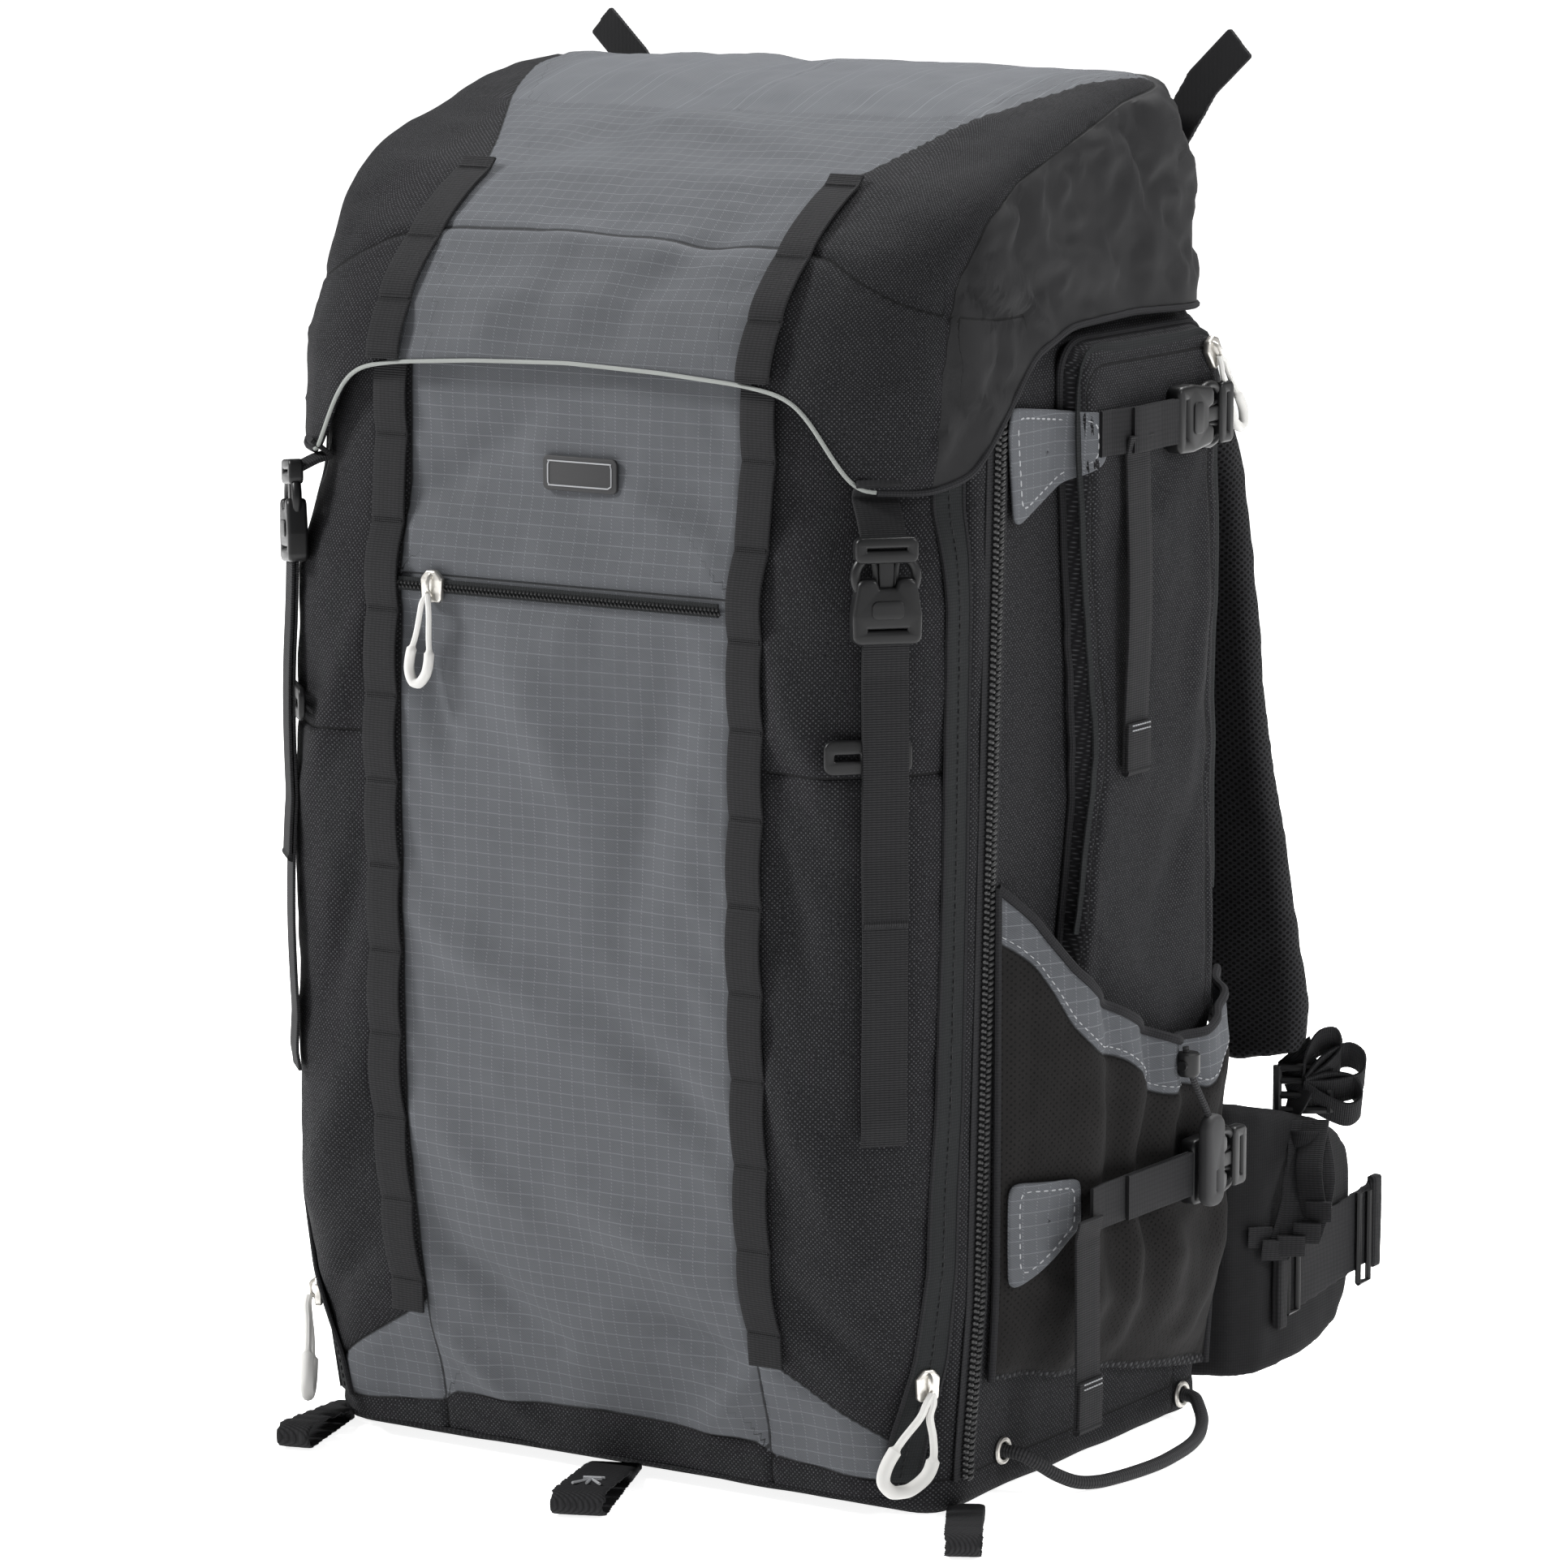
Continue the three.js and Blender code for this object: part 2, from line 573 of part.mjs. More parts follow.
function gussetZip() {
  const { near, far, thickness } = GUSSET_BAND;
  const levels = POCKET_SECTIONS.map((row) => row.z).filter((z) => z > GUSSET_FOOT && z < GUSSET_TOP);
  const rings = [GUSSET_FOOT, ...levels, GUSSET_TOP].map((z) => {
    const walls = [near, mix(near, far, 0.5), far].map((ahead) => gussetWall(z, ahead));
    const layer = (lift) => walls.map(({ at, out }) => at.clone().addScaledVector(out, lift));
    return [...layer(3 * GAP), ...layer(3 * GAP + thickness).reverse()];
  });
  const wall = gussetWall(GUSSET_SLIDER, mix(near, far, 0.5));
  const seat = wall.at.clone().addScaledVector(wall.out, 3 * GAP + thickness / 2);
  return join(loft(rings), sliderAndPull(seat, wall.along, vec(0, 0, -1), radians(-14), LARGE_PULL));
}

function mainZip() {
  const bends = BAG_SECTIONS.map((row) => row.z).filter((z) => z > COIL_FOOT.z && z < COIL_TOP.z);
  const path = [COIL_FOOT.z, ...bends, COIL_TOP.z].map((z) => {
    return vec(bagSide(z), between([COIL_FOOT, COIL_TOP], 'z', 'y', z), z);
  });
  return ribbon(path, vec(0, -1, 0), COIL_WIDTH, COIL_THICKNESS);
}

function sideZipPull() {
  const { y, z, tilt } = SIDE_SLIDER;
  const seat = vec(BAG_HALF_WIDTH + SIDE_POCKET_DEPTH + 2 * GAP, y, z);
  return sliderAndPull(seat, vec(0, 1, 0), vec(0, 0, -1), radians(tilt));
}

// The front straps, buckles and hooks face outward from the middle of the pocket's broad corner
const CORNER_AXIS = { x: POCKET_HALF_WIDTH - POCKET_CORNER, y: POCKET_CORNER - BAG_FRONT - POCKET_DEPTH };
const onCorner = (geometry) => geometry.rotateZ(radians(STRAP_TURN)).translate(CORNER_AXIS.x, CORNER_AXIS.y, 0);

// Distance from the corner's axis out to a round corner, along the way that the straps face
function cornerReach({ front, halfWidth, corner }) {
  const facing = new THREE.Vector2(Math.sin(radians(STRAP_TURN)), -Math.cos(radians(STRAP_TURN)));
  const offset = new THREE.Vector2(halfWidth - corner - CORNER_AXIS.x, corner - front - CORNER_AXIS.y);
  const along = offset.dot(facing);
  return along + Math.sqrt(corner ** 2 - offset.lengthSq() + along ** 2);
}

const strapReach = (z) => cornerReach(pocketRow(z));

// Distance from the corner's axis to a front buckle's back, at a height above the buckle's middle
function buckleBack({ foot, stand, lean }, up) {
  return mix(strapReach(foot), strapReach(foot + BUCKLE.length), 0.5) + stand - up * Math.tan(radians(lean));
}

// Front straps, with the buckle between the lid's ear and the tail
function frontStraps(place) {
  const across = vec(-1, 0, 0);
  const top = place.foot + BUCKLE.length;
  const core = (up) => buckleBack(place, up) + (BUCKLE.thickness - WEBBING) / 2;
  const [high, low] = [core(BUCKLE.length / 2), core(-BUCKLE.length / 2)];
  const slack = 2 * GAP + BUCKLE.thickness * Math.sin(radians(place.lean));
  const ear = lidZ(FLAP_EDGE.at(-1).rise);
  const rim = cornerReach({ front: LID_FRONT, halfWidth: LID_HALF_WIDTH, corner: LID_FRONT_CORNER });
  const upper = ribbon([
    vec(0, -high, top + slack),
    vec(0, -mix(high, rim, 0.4), mix(top, ear, 0.5)),
    vec(0, CLOTH - rim, ear - GAP),
  ], across, NARROW_WEBBING, WEBBING, 0);
  const tabTop = STRAP_END + STRAP_TAB;
  const over = HOOK.thickness + 3 * GAP;
  const [below, above] = [HOOK.level - HOOK.height, HOOK.level + HOOK.height];
  const strap = ribbon([
    vec(0, -strapReach(STRAP_END) - GAP, STRAP_END),
    vec(0, -strapReach(tabTop) - GAP, tabTop),
    vec(0, -strapReach(below) - over, below),
    vec(0, -strapReach(above) - over, above),
    vec(0, -low, place.foot - slack),
  ], across, NARROW_WEBBING, WEBBING, 0);
  const tab = ribbon([
    vec(0, -strapReach(STRAP_END) - GAP - WEBBING / 2, STRAP_END),
    vec(0, -strapReach(tabTop) - GAP - WEBBING / 2, tabTop),
  ], across, NARROW_WEBBING, 1.5 * WEBBING, 0);
  return { upper: onCorner(upper), lower: onCorner(join(strap, tab)) };
}

// Side-release buckle: a frame with a bar at each end and two windows beside its tongue
function buckle({ width, length, thickness, bar }, origin, right, up) {
  const [w, h] = [width / 2, length / 2];
  const waist = w * 0.84;
  const outline = rounded([
    [w, -h, 3], [w, -h * 0.45, 2], [waist, -h * 0.2, 3], [w, h * 0.1, 4], [w * 0.95, h, 4],
    [-w * 0.95, h, 4], [-w, h * 0.1, 4], [-waist, -h * 0.2, 3], [-w, -h * 0.45, 2], [-w, -h, 3]], 2);
  const slot = (low, high) => [[-w + bar, low], [-w + bar, high], [w - bar, high], [w - bar, low]];
  const window = (side) => [[side * w * 0.45, -h * 0.1], [side * w * 0.72, -h * 0.05], [side * w * 0.72, h * 0.4], [side * w * 0.45, h * 0.45]];
  const holes = [slot(-h + bar, -h * 0.6), slot(h * 0.72, h - bar * 0.7), window(1), window(-1)];
  return plate(outline, thickness, origin, right, up, holes);
}

function frontBuckle(place) {
  const at = vec(0, -buckleBack(place, 0), place.foot + BUCKLE.length / 2);
  const up = vec(0, Math.sin(radians(place.lean)), Math.cos(radians(place.lean)));
  return onCorner(buckle(BUCKLE, at, vec(1, 0, 0), up));
}

function gearHook() {
  const { width, height, thickness, level, offset } = HOOK;
  const [w, h] = [width / 2, height / 2];
  const outline = rounded([[w, h, 1.5], [w * 0.25, -h, 8], [-w * 0.25, -h, 8], [-w, h, 1.5]].reverse(), 3);
  const slot = [[-w * 0.5, -h * 0.1], [w * 0.5, -h * 0.1], [w * 0.5, h * 0.45], [-w * 0.5, h * 0.45]];
  const seat = vec(offset, -strapReach(level) - GAP, level);
  return onCorner(plate(outline, thickness, seat, vec(1, 0, 0), vec(0, 0, 1), [slot]));
}

// Upper side pocket, a shallow tray closed by the bag's side
function sidePocketOutline(inset, radius) {
  const { top, middle, foot } = SIDE_POCKET_FRONT;
  const rear = SIDE_POCKET_REAR - inset;
  const high = SIDE_POCKET_TOP - inset;
  const low = SIDE_POCKET_FOOT + inset;
  return rounded([
    [foot + inset, low, radius], [rear, low, radius], [rear, high, radius],
    [top + inset, high, radius], [middle + inset, SIDE_POCKET_BEND, 0]]);
}

function sidePocket() {
  const base = BAG_HALF_WIDTH + GAP;
  const corner = (inset) => SIDE_POCKET_CORNER - inset / 2;
  const layer = (inset, out) => sidePocketOutline(inset, corner(inset)).map(([y, z]) => vec(base + out, y, z));
  const depth = SIDE_POCKET_DEPTH;
  const outer = loft([layer(0, 0), layer(1, depth * 0.6), layer(3, depth * 0.9), layer(7, depth)]);
  const inner = loft([layer(CLOTH, -CLOTH), layer(1 + CLOTH, depth * 0.6 - CLOTH), layer(7 + CLOTH, depth - CLOTH)]);
  return cut(outer, inner);
}

// Side compression strap with its folded tail, outside a face of the bag
function sideStrap(path, tail, level) {
  const first = ribbon(path.map(([x, y]) => vec(x, y, level)), vec(0, 0, 1), NARROW_WEBBING, WEBBING, 0);
  const face = path.at(-1)[0] + WEBBING;
  const half = NARROW_WEBBING / 2;
  const second = box(
    vec(face - WEBBING / 2, tail.y - half, level - half), vec(face + WEBBING, path.at(-1)[1], level + half));
  const drop = box(
    vec(face + WEBBING / 2, tail.y - half, tail.end), vec(face + 2 * WEBBING, tail.y + half, level + half));
  return join(first, second, drop);
}

function sideBuckle(x, level) {
  const at = vec(x, SIDE_BUCKLE_Y + SIDE_BUCKLE.length / 2, level);
  return buckle(SIDE_BUCKLE, at, vec(0, 0, -1), vec(0, 1, 0));
}

const UPPER_FACE = BAG_HALF_WIDTH + SIDE_POCKET_DEPTH + 3 * GAP;
const LOWER_FACE = BAG_HALF_WIDTH + BOTTLE_BULGE * (1 - BOTTLE_PINCH * 0.9) + BOTTLE_GATHER_DEPTH + CLOTH + 2 * GAP;

function upperStrap() {
  const drop = (SIDE_POCKET_TOP - UPPER_STRAP_Z) / (SIDE_POCKET_TOP - SIDE_POCKET_BEND);
  const edge = mix(SIDE_POCKET_FRONT.top, SIDE_POCKET_FRONT.middle, drop);
  const foot = BAG_HALF_WIDTH + 2 * GAP;
  return sideStrap([
    [foot, edge - 16], [foot, edge - 9], [UPPER_FACE - 2, edge - 3], [UPPER_FACE, edge + 8],
    [UPPER_FACE, SIDE_BUCKLE_Y - GAP]], UPPER_TAIL, UPPER_STRAP_Z);
}

function lowerStrap() {
  const middle = (BOTTLE_FRONT + BOTTLE_REAR) / 2;
  const spread = (y) => (y - middle) / ((BOTTLE_REAR - BOTTLE_FRONT) / 2);
  const start = BOTTLE_FRONT + NARROW_WEBBING;
  const near = LOWER_FACE - BOTTLE_BULGE * (1 - BOTTLE_PINCH) * spread(start) ** 4;
  return sideStrap([
    [near, start], [LOWER_FACE, start + NARROW_WEBBING], [LOWER_FACE, SIDE_BUCKLE_Y - GAP]], LOWER_TAIL, LOWER_STRAP_Z);
}

// Bottle pocket: rim and foot heights along the bag's side, as shares of the rim and foot levels
const BOTTLE_EDGES = [
  { along: 0, rim: 1.455, foot: 1.45 },
  { along: 0.08, rim: 1.37, foot: 1.4 },
  { along: 0.16, rim: 1.257, foot: 1.35 },
  { along: 0.25, rim: 1.176, foot: 1.25 },
  { along: 0.43, rim: 1.08, foot: 1.1 },
  { along: 0.6, rim: 1, foot: 0.95 },
  { along: 0.75, rim: 1, foot: 0.8 },
  { along: 0.88, rim: 1.05, foot: 0.66 },
  { along: 1, rim: 1.1, foot: 0.58 },
];

// Bulge of the pocket from its foot to its rim
const BOTTLE_RISE = [
  { up: 0, bulge: 0.06 },
  { up: 0.1, bulge: 0.55 },
  { up: 0.22, bulge: 0.88 },
  { up: 0.45, bulge: 1 },
  { up: 0.85, bulge: 1 },
  { up: 1, bulge: 0.9 },
];

function bottleDepth(along, up, z) {
  const arch = 1 - (2 * along - 1) ** 4;
  const pinch = BOTTLE_PINCH * Math.exp(-(((z - LOWER_STRAP_Z) / BOTTLE_PINCH_REACH) ** 4));
  const gather = BOTTLE_GATHER_DEPTH * Math.cos(2 * Math.PI * BOTTLE_GATHERS * along) * arch * up;
  return BOTTLE_BULGE * arch * between(BOTTLE_RISE, 'up', 'bulge', up) * (1 - pinch) - gather;
}

function bottlePocket() {
  const steps = 4 * BOTTLE_GATHERS;
  const heights = [0, 0.1, 0.22, 0.36, 0.5, 0.64, 0.82, 1];
  const rings = [];
  for (let s = 0; s <= steps; s++) {
    const along = s / steps;
    const rim = BOTTLE_RIM * between(BOTTLE_EDGES, 'along', 'rim', along);
    const foot = BOTTLE_FOOT * between(BOTTLE_EDGES, 'along', 'foot', along);
    const y = mix(BOTTLE_FRONT, BOTTLE_REAR, along);
    const wall = (outward) => heights.map((up) => {
      const z = mix(foot, rim, up);
      return vec(bagSide(z) + GAP + Math.max(bottleDepth(along, up, z), 0) + outward, y, z);
    });
    rings.push([...wall(CLOTH), ...wall(0).reverse()]);
  }
  return loft(rings);
}

// Cord lock on the bottle pocket's rim, its cord and the cord's bound end
function bottleFace(y, z) {
  const along = (y - BOTTLE_FRONT) / (BOTTLE_REAR - BOTTLE_FRONT);
  const rim = BOTTLE_RIM * between(BOTTLE_EDGES, 'along', 'rim', along);
  const foot = BOTTLE_FOOT * between(BOTTLE_EDGES, 'along', 'foot', along);
  return bagSide(z) + GAP + CLOTH + bottleDepth(along, (z - foot) / (rim - foot), z);
}

const LOCK_SEAT = bottleFace(LOCK.y, LOCK.z) + 2 * GAP;
const CORD_END_SEAT = LOWER_FACE + SIDE_BUCKLE.thickness + 2 * GAP + CORD_END.thickness / 2;
const DRAW_CORD_POINTS = [
  [0, 3, -LOCK.radius - GAP],
  [0.1, 3.6, -11],
  [0.4, 6, -16],
  [0.8, 10, -21],
  [1, 13, -25.5],
].map(([share, back, drop]) => [mix(LOCK_SEAT + LOCK.length / 2, CORD_END_SEAT, share), LOCK.y + back, LOCK.z + drop]);

function cordLock() {
  const { y, z, radius, length } = LOCK;
  const profile = [[0, 0], [radius, 0], [radius, length * 0.7], [radius * 0.75, length], [0, length]];
  const barrel = new THREE.LatheGeometry(profile.map(([r, h]) => new THREE.Vector2(r, h)), 14);
  return barrel.rotateZ(-Math.PI / 2).translate(LOCK_SEAT, y, z);
}

function cordEnd() {
  const [x, y, z] = DRAW_CORD_POINTS.at(-1);
  const { width, length, thickness } = CORD_END;
  const [w, h] = [width / 2, length];
  const outline = rounded([[w, -h, 4], [w * 0.8, 0, 3], [-w * 0.8, 0, 3], [-w, -h, 4]], 3);
  return plate(outline, thickness, vec(x - thickness / 2, y + w * 0.3, z - 3 * GAP), vec(0, 1, 0), vec(0, 0, 1));
}

// Shock cord of a side: out of its front eyelet, along the floor and back in at the rear
const SHOCK_CORD_POINTS = [
  [bagSide(FRONT_EYELET.z) + 2 * GAP, FRONT_EYELET.y, FRONT_EYELET.z],
  [171, -66.2, 19.4],
  [177.5, -62.5, 15.4],
  [183.5, -56, 9.6],
  [189, -47.5, 5.2],
  [193.5, -37, 3.6],
  [197, -24, 3.4],
  [199.5, -9, 3.4],
  [200.5, 6, 3.4],
  [199.5, 21, 3.4],
  [197.5, 36, 3.4],
  [194, 50, 3.5],
  [189, 63, 4],
  [183, 75, 5.6],
  [176, 84.5, 8.2],
  [170, 90.6, 10.2],
  [bagSide(REAR_EYELET.z) + 2 * GAP, REAR_EYELET.y, REAR_EYELET.z],
];

function eyelet(radius, { y, z }) {
  const { hole, thickness } = EYELET;
  const profile = [[hole, 0], [radius, 0], [radius, thickness * 0.5], [radius * 0.8, thickness], [hole, thickness * 0.7], [hole, 0]];
  const rim = new THREE.LatheGeometry(profile.map(([r, h]) => new THREE.Vector2(r, h)), 12);
  return rim.rotateZ(-Math.PI / 2).translate(bagSide(z) + GAP, y, z);
}

// Webbing loop lying on the floor, its two layers meeting under the base
function baseLoop({ width, length, x, y, turn }) {
  const bend = LOOP_RISE / 2;
  const top = (reach) => GAP + LOOP_RISE * mix(0.3, 1, reach / (length - bend));
  const side = (inset, start) => {
    const radius = bend - inset;
    const centre = [length - bend, bend + GAP];
    const arc = [0, 1, 2, 3, 4, 5, 6].map((step) => {
      const angle = (step / 6 - 0.5) * Math.PI;
      return [centre[0] + radius * Math.cos(angle), centre[1] + radius * Math.sin(angle)];
    });
    return [[start, GAP + inset], ...arc, [start, top(start) - inset]];
  };
  const heading = radians(turn);
  const along = vec(Math.sin(heading), -Math.cos(heading), 0);
  const across = along.clone().cross(vec(0, 0, 1));
  const origin = vec(x, y, 0).addScaledVector(across, -width / 2);
  const loop = plate(side(0, 0), width, origin, along, vec(0, 0, 1), [side(WEBBING, length * 0.3)]);
  return cut(loop, bagHull(GAP));
}

// Shoulder strap from the back panel up, over and down to its pointed end,
// as shares of its spread, its reach behind the back panel, its top and its width
const HARNESS_ROWS = [
  { aside: 0, out: 0, rise: 0.879, width: 0.86 },
  { aside: 0, out: 0, rise: 0.924, width: 0.9 },
  { aside: 0.015, out: 0.063, rise: 0.969, width: 0.94 },
  { aside: 0.045, out: 0.177, rise: 0.996, width: 0.97 },
  { aside: 0.09, out: 0.354, rise: 1, width: 1 },
  { aside: 0.11, out: 0.56, rise: 0.969, width: 1 },
  { aside: 0.12, out: 0.78, rise: 0.91, width: 1 },
  { aside: 0.14, out: 0.94, rise: 0.849, width: 1 },
  { aside: 0.17, out: 1, rise: 0.781, width: 1 },
  { aside: 0.25, out: 0.98, rise: 0.705, width: 1 },
  { aside: 0.4, out: 0.87, rise: 0.609, width: 0.99 },
  { aside: 0.62, out: 0.747, rise: 0.515, width: 0.97, lean: 0.2 },
  { aside: 0.788, out: 0.72, rise: 0.423, width: 0.9, lean: 0.2 },
  { aside: 0.924, out: 0.747, rise: 0.352, width: 0.78, lean: 0.2 },
  { aside: 1, out: 0.772, rise: 0.307, width: 0.56, lean: 0.2 },
];

function shoulderStrap() {
  const seat = BAG_REAR + BACK_PAD + 2 * GAP + HARNESS_PAD / 2;
  return padding(HARNESS_ROWS.map(({ aside, out, rise, width, lean = 0 }) => ({
    at: vec(HARNESS_ROOT + HARNESS_SPREAD * aside, seat + HARNESS_REACH * out, HARNESS_TOP * rise),
    width: HARNESS_WIDTH * width,
    across: vec(1, 0, lean),
  })), vec(1, 0, 0), HARNESS_PAD);
}

// Hip belt wing: behind the back panel, round the corner and straight back
function beltRows() {
  const back = BAG_REAR + BACK_PAD + 2 * GAP + BELT_PAD / 2;
  return [
    { x: 96, y: back, height: 0.98, low: 0.02 },
    { x: 142, y: back, height: 1, low: 0 },
    { x: BELT_SIDE - 9, y: back + 5, height: 0.99, low: 0 },
    { x: BELT_SIDE - 2, y: back + 14, height: 0.98, low: 0 },
    { x: BELT_SIDE, y: back + 32, height: 0.93, low: 0.01 },
    { x: BELT_SIDE, y: mix(back, BELT_REACH, 0.65), height: 0.84, low: 0.03 },
    { x: BELT_SIDE - 1, y: mix(back, BELT_REACH, 0.85), height: 0.72, low: 0.08 },
    { x: BELT_SIDE - 2, y: mix(back, BELT_REACH, 0.96), height: 0.54, low: 0.18 },
    { x: BELT_SIDE - 2.5, y: BELT_REACH, height: 0.34, low: 0.3 },
  ];
}

function hipBelt() {
  return padding(beltRows().map(({ x, y, height, low }) => ({
    at: vec(x, y, BELT_BOTTOM + BELT_HEIGHT * (low + height / 2)),
    width: BELT_HEIGHT * height,
  })), vec(0, 0, 1), BELT_PAD);
}

// Belt webbing on the wing, with a tri-glide near each end
function beltWebbing() {
  const face = BELT_SIDE + BELT_PAD / 2;
  const start = BAG_REAR + BACK_PAD + BELT_PAD + 14;
  const level = BELT_BOTTOM + BELT_HEIGHT * 0.33;
  const slope = 0.12;
  const rise = (y) => level + slope * (y - start);
  const path = [start, mix(start, BELT_WEBBING_END, 0.6), BELT_WEBBING_END].map((y) => vec(face, y, rise(y)));
  const glide = (y) => box(
    vec(face + GAP, y - 4, rise(y) - BELT_WEBBING * 0.58), vec(face + 5, y + 4, rise(y) + BELT_WEBBING * 0.58));
  return join(ribbon(path, vec(0, 0, 1), BELT_WEBBING), glide(start + 4), glide(BELT_WEBBING_END - 6));
}

// Ladder lock at the shoulder strap's end, with the webbing down to the belt and its tied tail
function strapWebbing() {
  const back = BAG_REAR + BACK_PAD + HARNESS_PAD / 2;
  const lock = vec(173, back + 64, 133);
  const body = box(lock.clone().add(vec(-13, -4, -9)), lock.clone().add(vec(13, 4, 9)));
  const anchor = vec(132, BAG_REAR + BACK_PAD + BELT_PAD + 5 * GAP, 66);
  const across = vec(1, 0, 0.2);
  const strap = ribbon([anchor, vec(140, back + 22, 92), vec(155, back + 50, 130), lock.clone().add(vec(0, 0, 4))], across, NARROW_WEBBING, WEBBING, 0);
  const bundle = box(lock.clone().add(vec(8, -26, -62)), lock.clone().add(vec(30, -10, -16)));
  const neck = box(lock.clone().add(vec(8, -20, -24)), lock.clone().add(vec(14, 0, 2)));
  return join(body, strap, neck, bundle);
}

function backPad() {
  const seat = BAG_REAR + GAP;
  const layer = (inset, out) => {
    const x = BACK_HALF_WIDTH - inset;
    const [low, high] = [BACK_BOTTOM + inset, BACK_TOP - inset];
    return rounded([[x, low, 30 - inset], [x, high, 30 - inset], [-x, high, 30 - inset], [-x, low, 30 - inset]])
      .map(([across, z]) => vec(across, seat + out, z));
  };
  const pad = loft([layer(0, 0), layer(0, BACK_PAD * 0.6), layer(4, BACK_PAD)]);
  const half = BACK_CHANNEL / 2;
  const channel = box(vec(-half, seat + BACK_PAD * 0.55, BACK_BOTTOM + 140), vec(half, seat + 2 * BACK_PAD, BACK_TOP + 1));
  return cut(pad, channel);
}

// Loose end of the lid's rear strap, standing up behind the roof's corner
function lidTail() {
  const seat = lidY(1) - CLOTH + GAP;
  const path = [vec(126, seat, 560), vec(140, seat, 584), vec(152, seat, 603), vec(171, seat, 621)];
  const rings = path.map((point, i) => {
    const along = path[Math.min(i + 1, path.length - 1)].clone().sub(path[Math.max(i - 1, 0)]).normalize();
    const across = along.clone().cross(vec(0, 1, 0)).multiplyScalar(LID_TAIL.width / 2);
    const depth = vec(0, LID_TAIL.thickness, 0);
    const [near, far] = [point.clone().sub(across), point.clone().add(across)];
    return [near, far, far.clone().add(depth), near.clone().add(depth)];
  });
  return loft(rings);
}

// Assembly
const backpack = new THREE.Group();
backpack.name = 'camera_backpack';

function add(name, geometry, look) {
  const mesh = new THREE.Mesh(geometry, new THREE.MeshStandardMaterial(look));
  mesh.name = name;
  backpack.add(mesh);
}

function addPair(name, geometry, look) {
  add(`${name}_right`, geometry, look);
  add(`${name}_left`, mirrored(geometry), look);
}

const { lid, hood } = lidAndHood();
const sides = [
  { side: 'right', place: RIGHT_BUCKLE, turned: (geometry) => geometry },
  { side: 'left', place: LEFT_BUCKLE, turned: mirrored },
];
const route = SHOCK_CORD_POINTS;

add('main_body', mainBody(), BLACK_CLOTH);
add('back_pad', backPad(), BLACK_MESH);
add('front_pocket', frontPocket(), GREY_CLOTH);
add('lid', lid, GREY_CLOTH);
add('label_patch', labelPatch(), BLACK_RUBBER);
add('front_zip', frontZip(), ZIP_TAPE);
add('tripod_loop', baseLoop(TRIPOD_LOOP), BLACK_WEBBING);
add('cord_lock_right', cordLock(), BLACK_PLASTIC);
add('draw_cord_right', cord(DRAW_CORD_POINTS, DRAW_CORD, 8, 6), BLACK_WEBBING);
add('cord_end_right', cordEnd(), BLACK_WEBBING);
add('corner_loop_right', baseLoop(CORNER_LOOP), BLACK_WEBBING);
add('corner_loop_left', baseLoop({ ...CORNER_LOOP, x: -CORNER_LOOP.x, turn: LEFT_LOOP_TURN }), BLACK_WEBBING);
addPair('hood_side', hood, BLACK_CLOTH);
addPair('lid_daisy', lidDaisy(), BLACK_WEBBING);
addPair('front_daisy', frontDaisy(), BLACK_WEBBING);
sides.forEach(({ side, place, turned }) => {
  const { upper, lower } = frontStraps(place);
  add(`front_strap_upper_${side}`, turned(upper), BLACK_WEBBING);
  add(`front_buckle_${side}`, turned(frontBuckle(place)), BLACK_PLASTIC);
  add(`front_strap_${side}`, turned(lower), BLACK_WEBBING);
});
addPair('gear_hook', gearHook(), BLACK_PLASTIC);
addPair('gusset_zip', gussetZip(), ZIP_TAPE);
addPair('main_zip', mainZip(), BLACK_PLASTIC);
addPair('side_pocket', sidePocket(), BLACK_CLOTH);
addPair('side_zip_pull', sideZipPull(), BLACK_PLASTIC);
addPair('upper_strap', upperStrap(), BLACK_WEBBING);
addPair('upper_buckle', sideBuckle(UPPER_FACE, UPPER_STRAP_Z), BLACK_PLASTIC);
addPair('lower_strap', lowerStrap(), BLACK_WEBBING);
addPair('lower_buckle', sideBuckle(LOWER_FACE, LOWER_STRAP_Z), BLACK_PLASTIC);
addPair('bottle_pocket', bottlePocket(), BLACK_MESH);
addPair('shock_cord', cord(route, SHOCK_CORD, 8, 2 * route.length), BLACK_WEBBING);
addPair('front_eyelet', eyelet(EYELET.front, FRONT_EYELET), BLACK_PLASTIC);
addPair('rear_eyelet', eyelet(EYELET.rear, REAR_EYELET), BLACK_PLASTIC);
addPair('shoulder_strap', shoulderStrap(), BLACK_MESH);
addPair('strap_webbing', strapWebbing(), BLACK_WEBBING);
addPair('hip_belt', hipBelt(), BLACK_CLOTH);
addPair('belt_webbing', beltWebbing(), BLACK_WEBBING);
addPair('lid_tail', lidTail(), BLACK_WEBBING);

export default backpack;
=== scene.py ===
"""Camera backpack: cloth shells, webbing, zips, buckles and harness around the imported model."""

import json
import math

import bpy
import numpy as np
from bpy.props import FloatProperty, FloatVectorProperty, PointerProperty
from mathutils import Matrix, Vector, noise
from mathutils.bvhtree import BVHTree

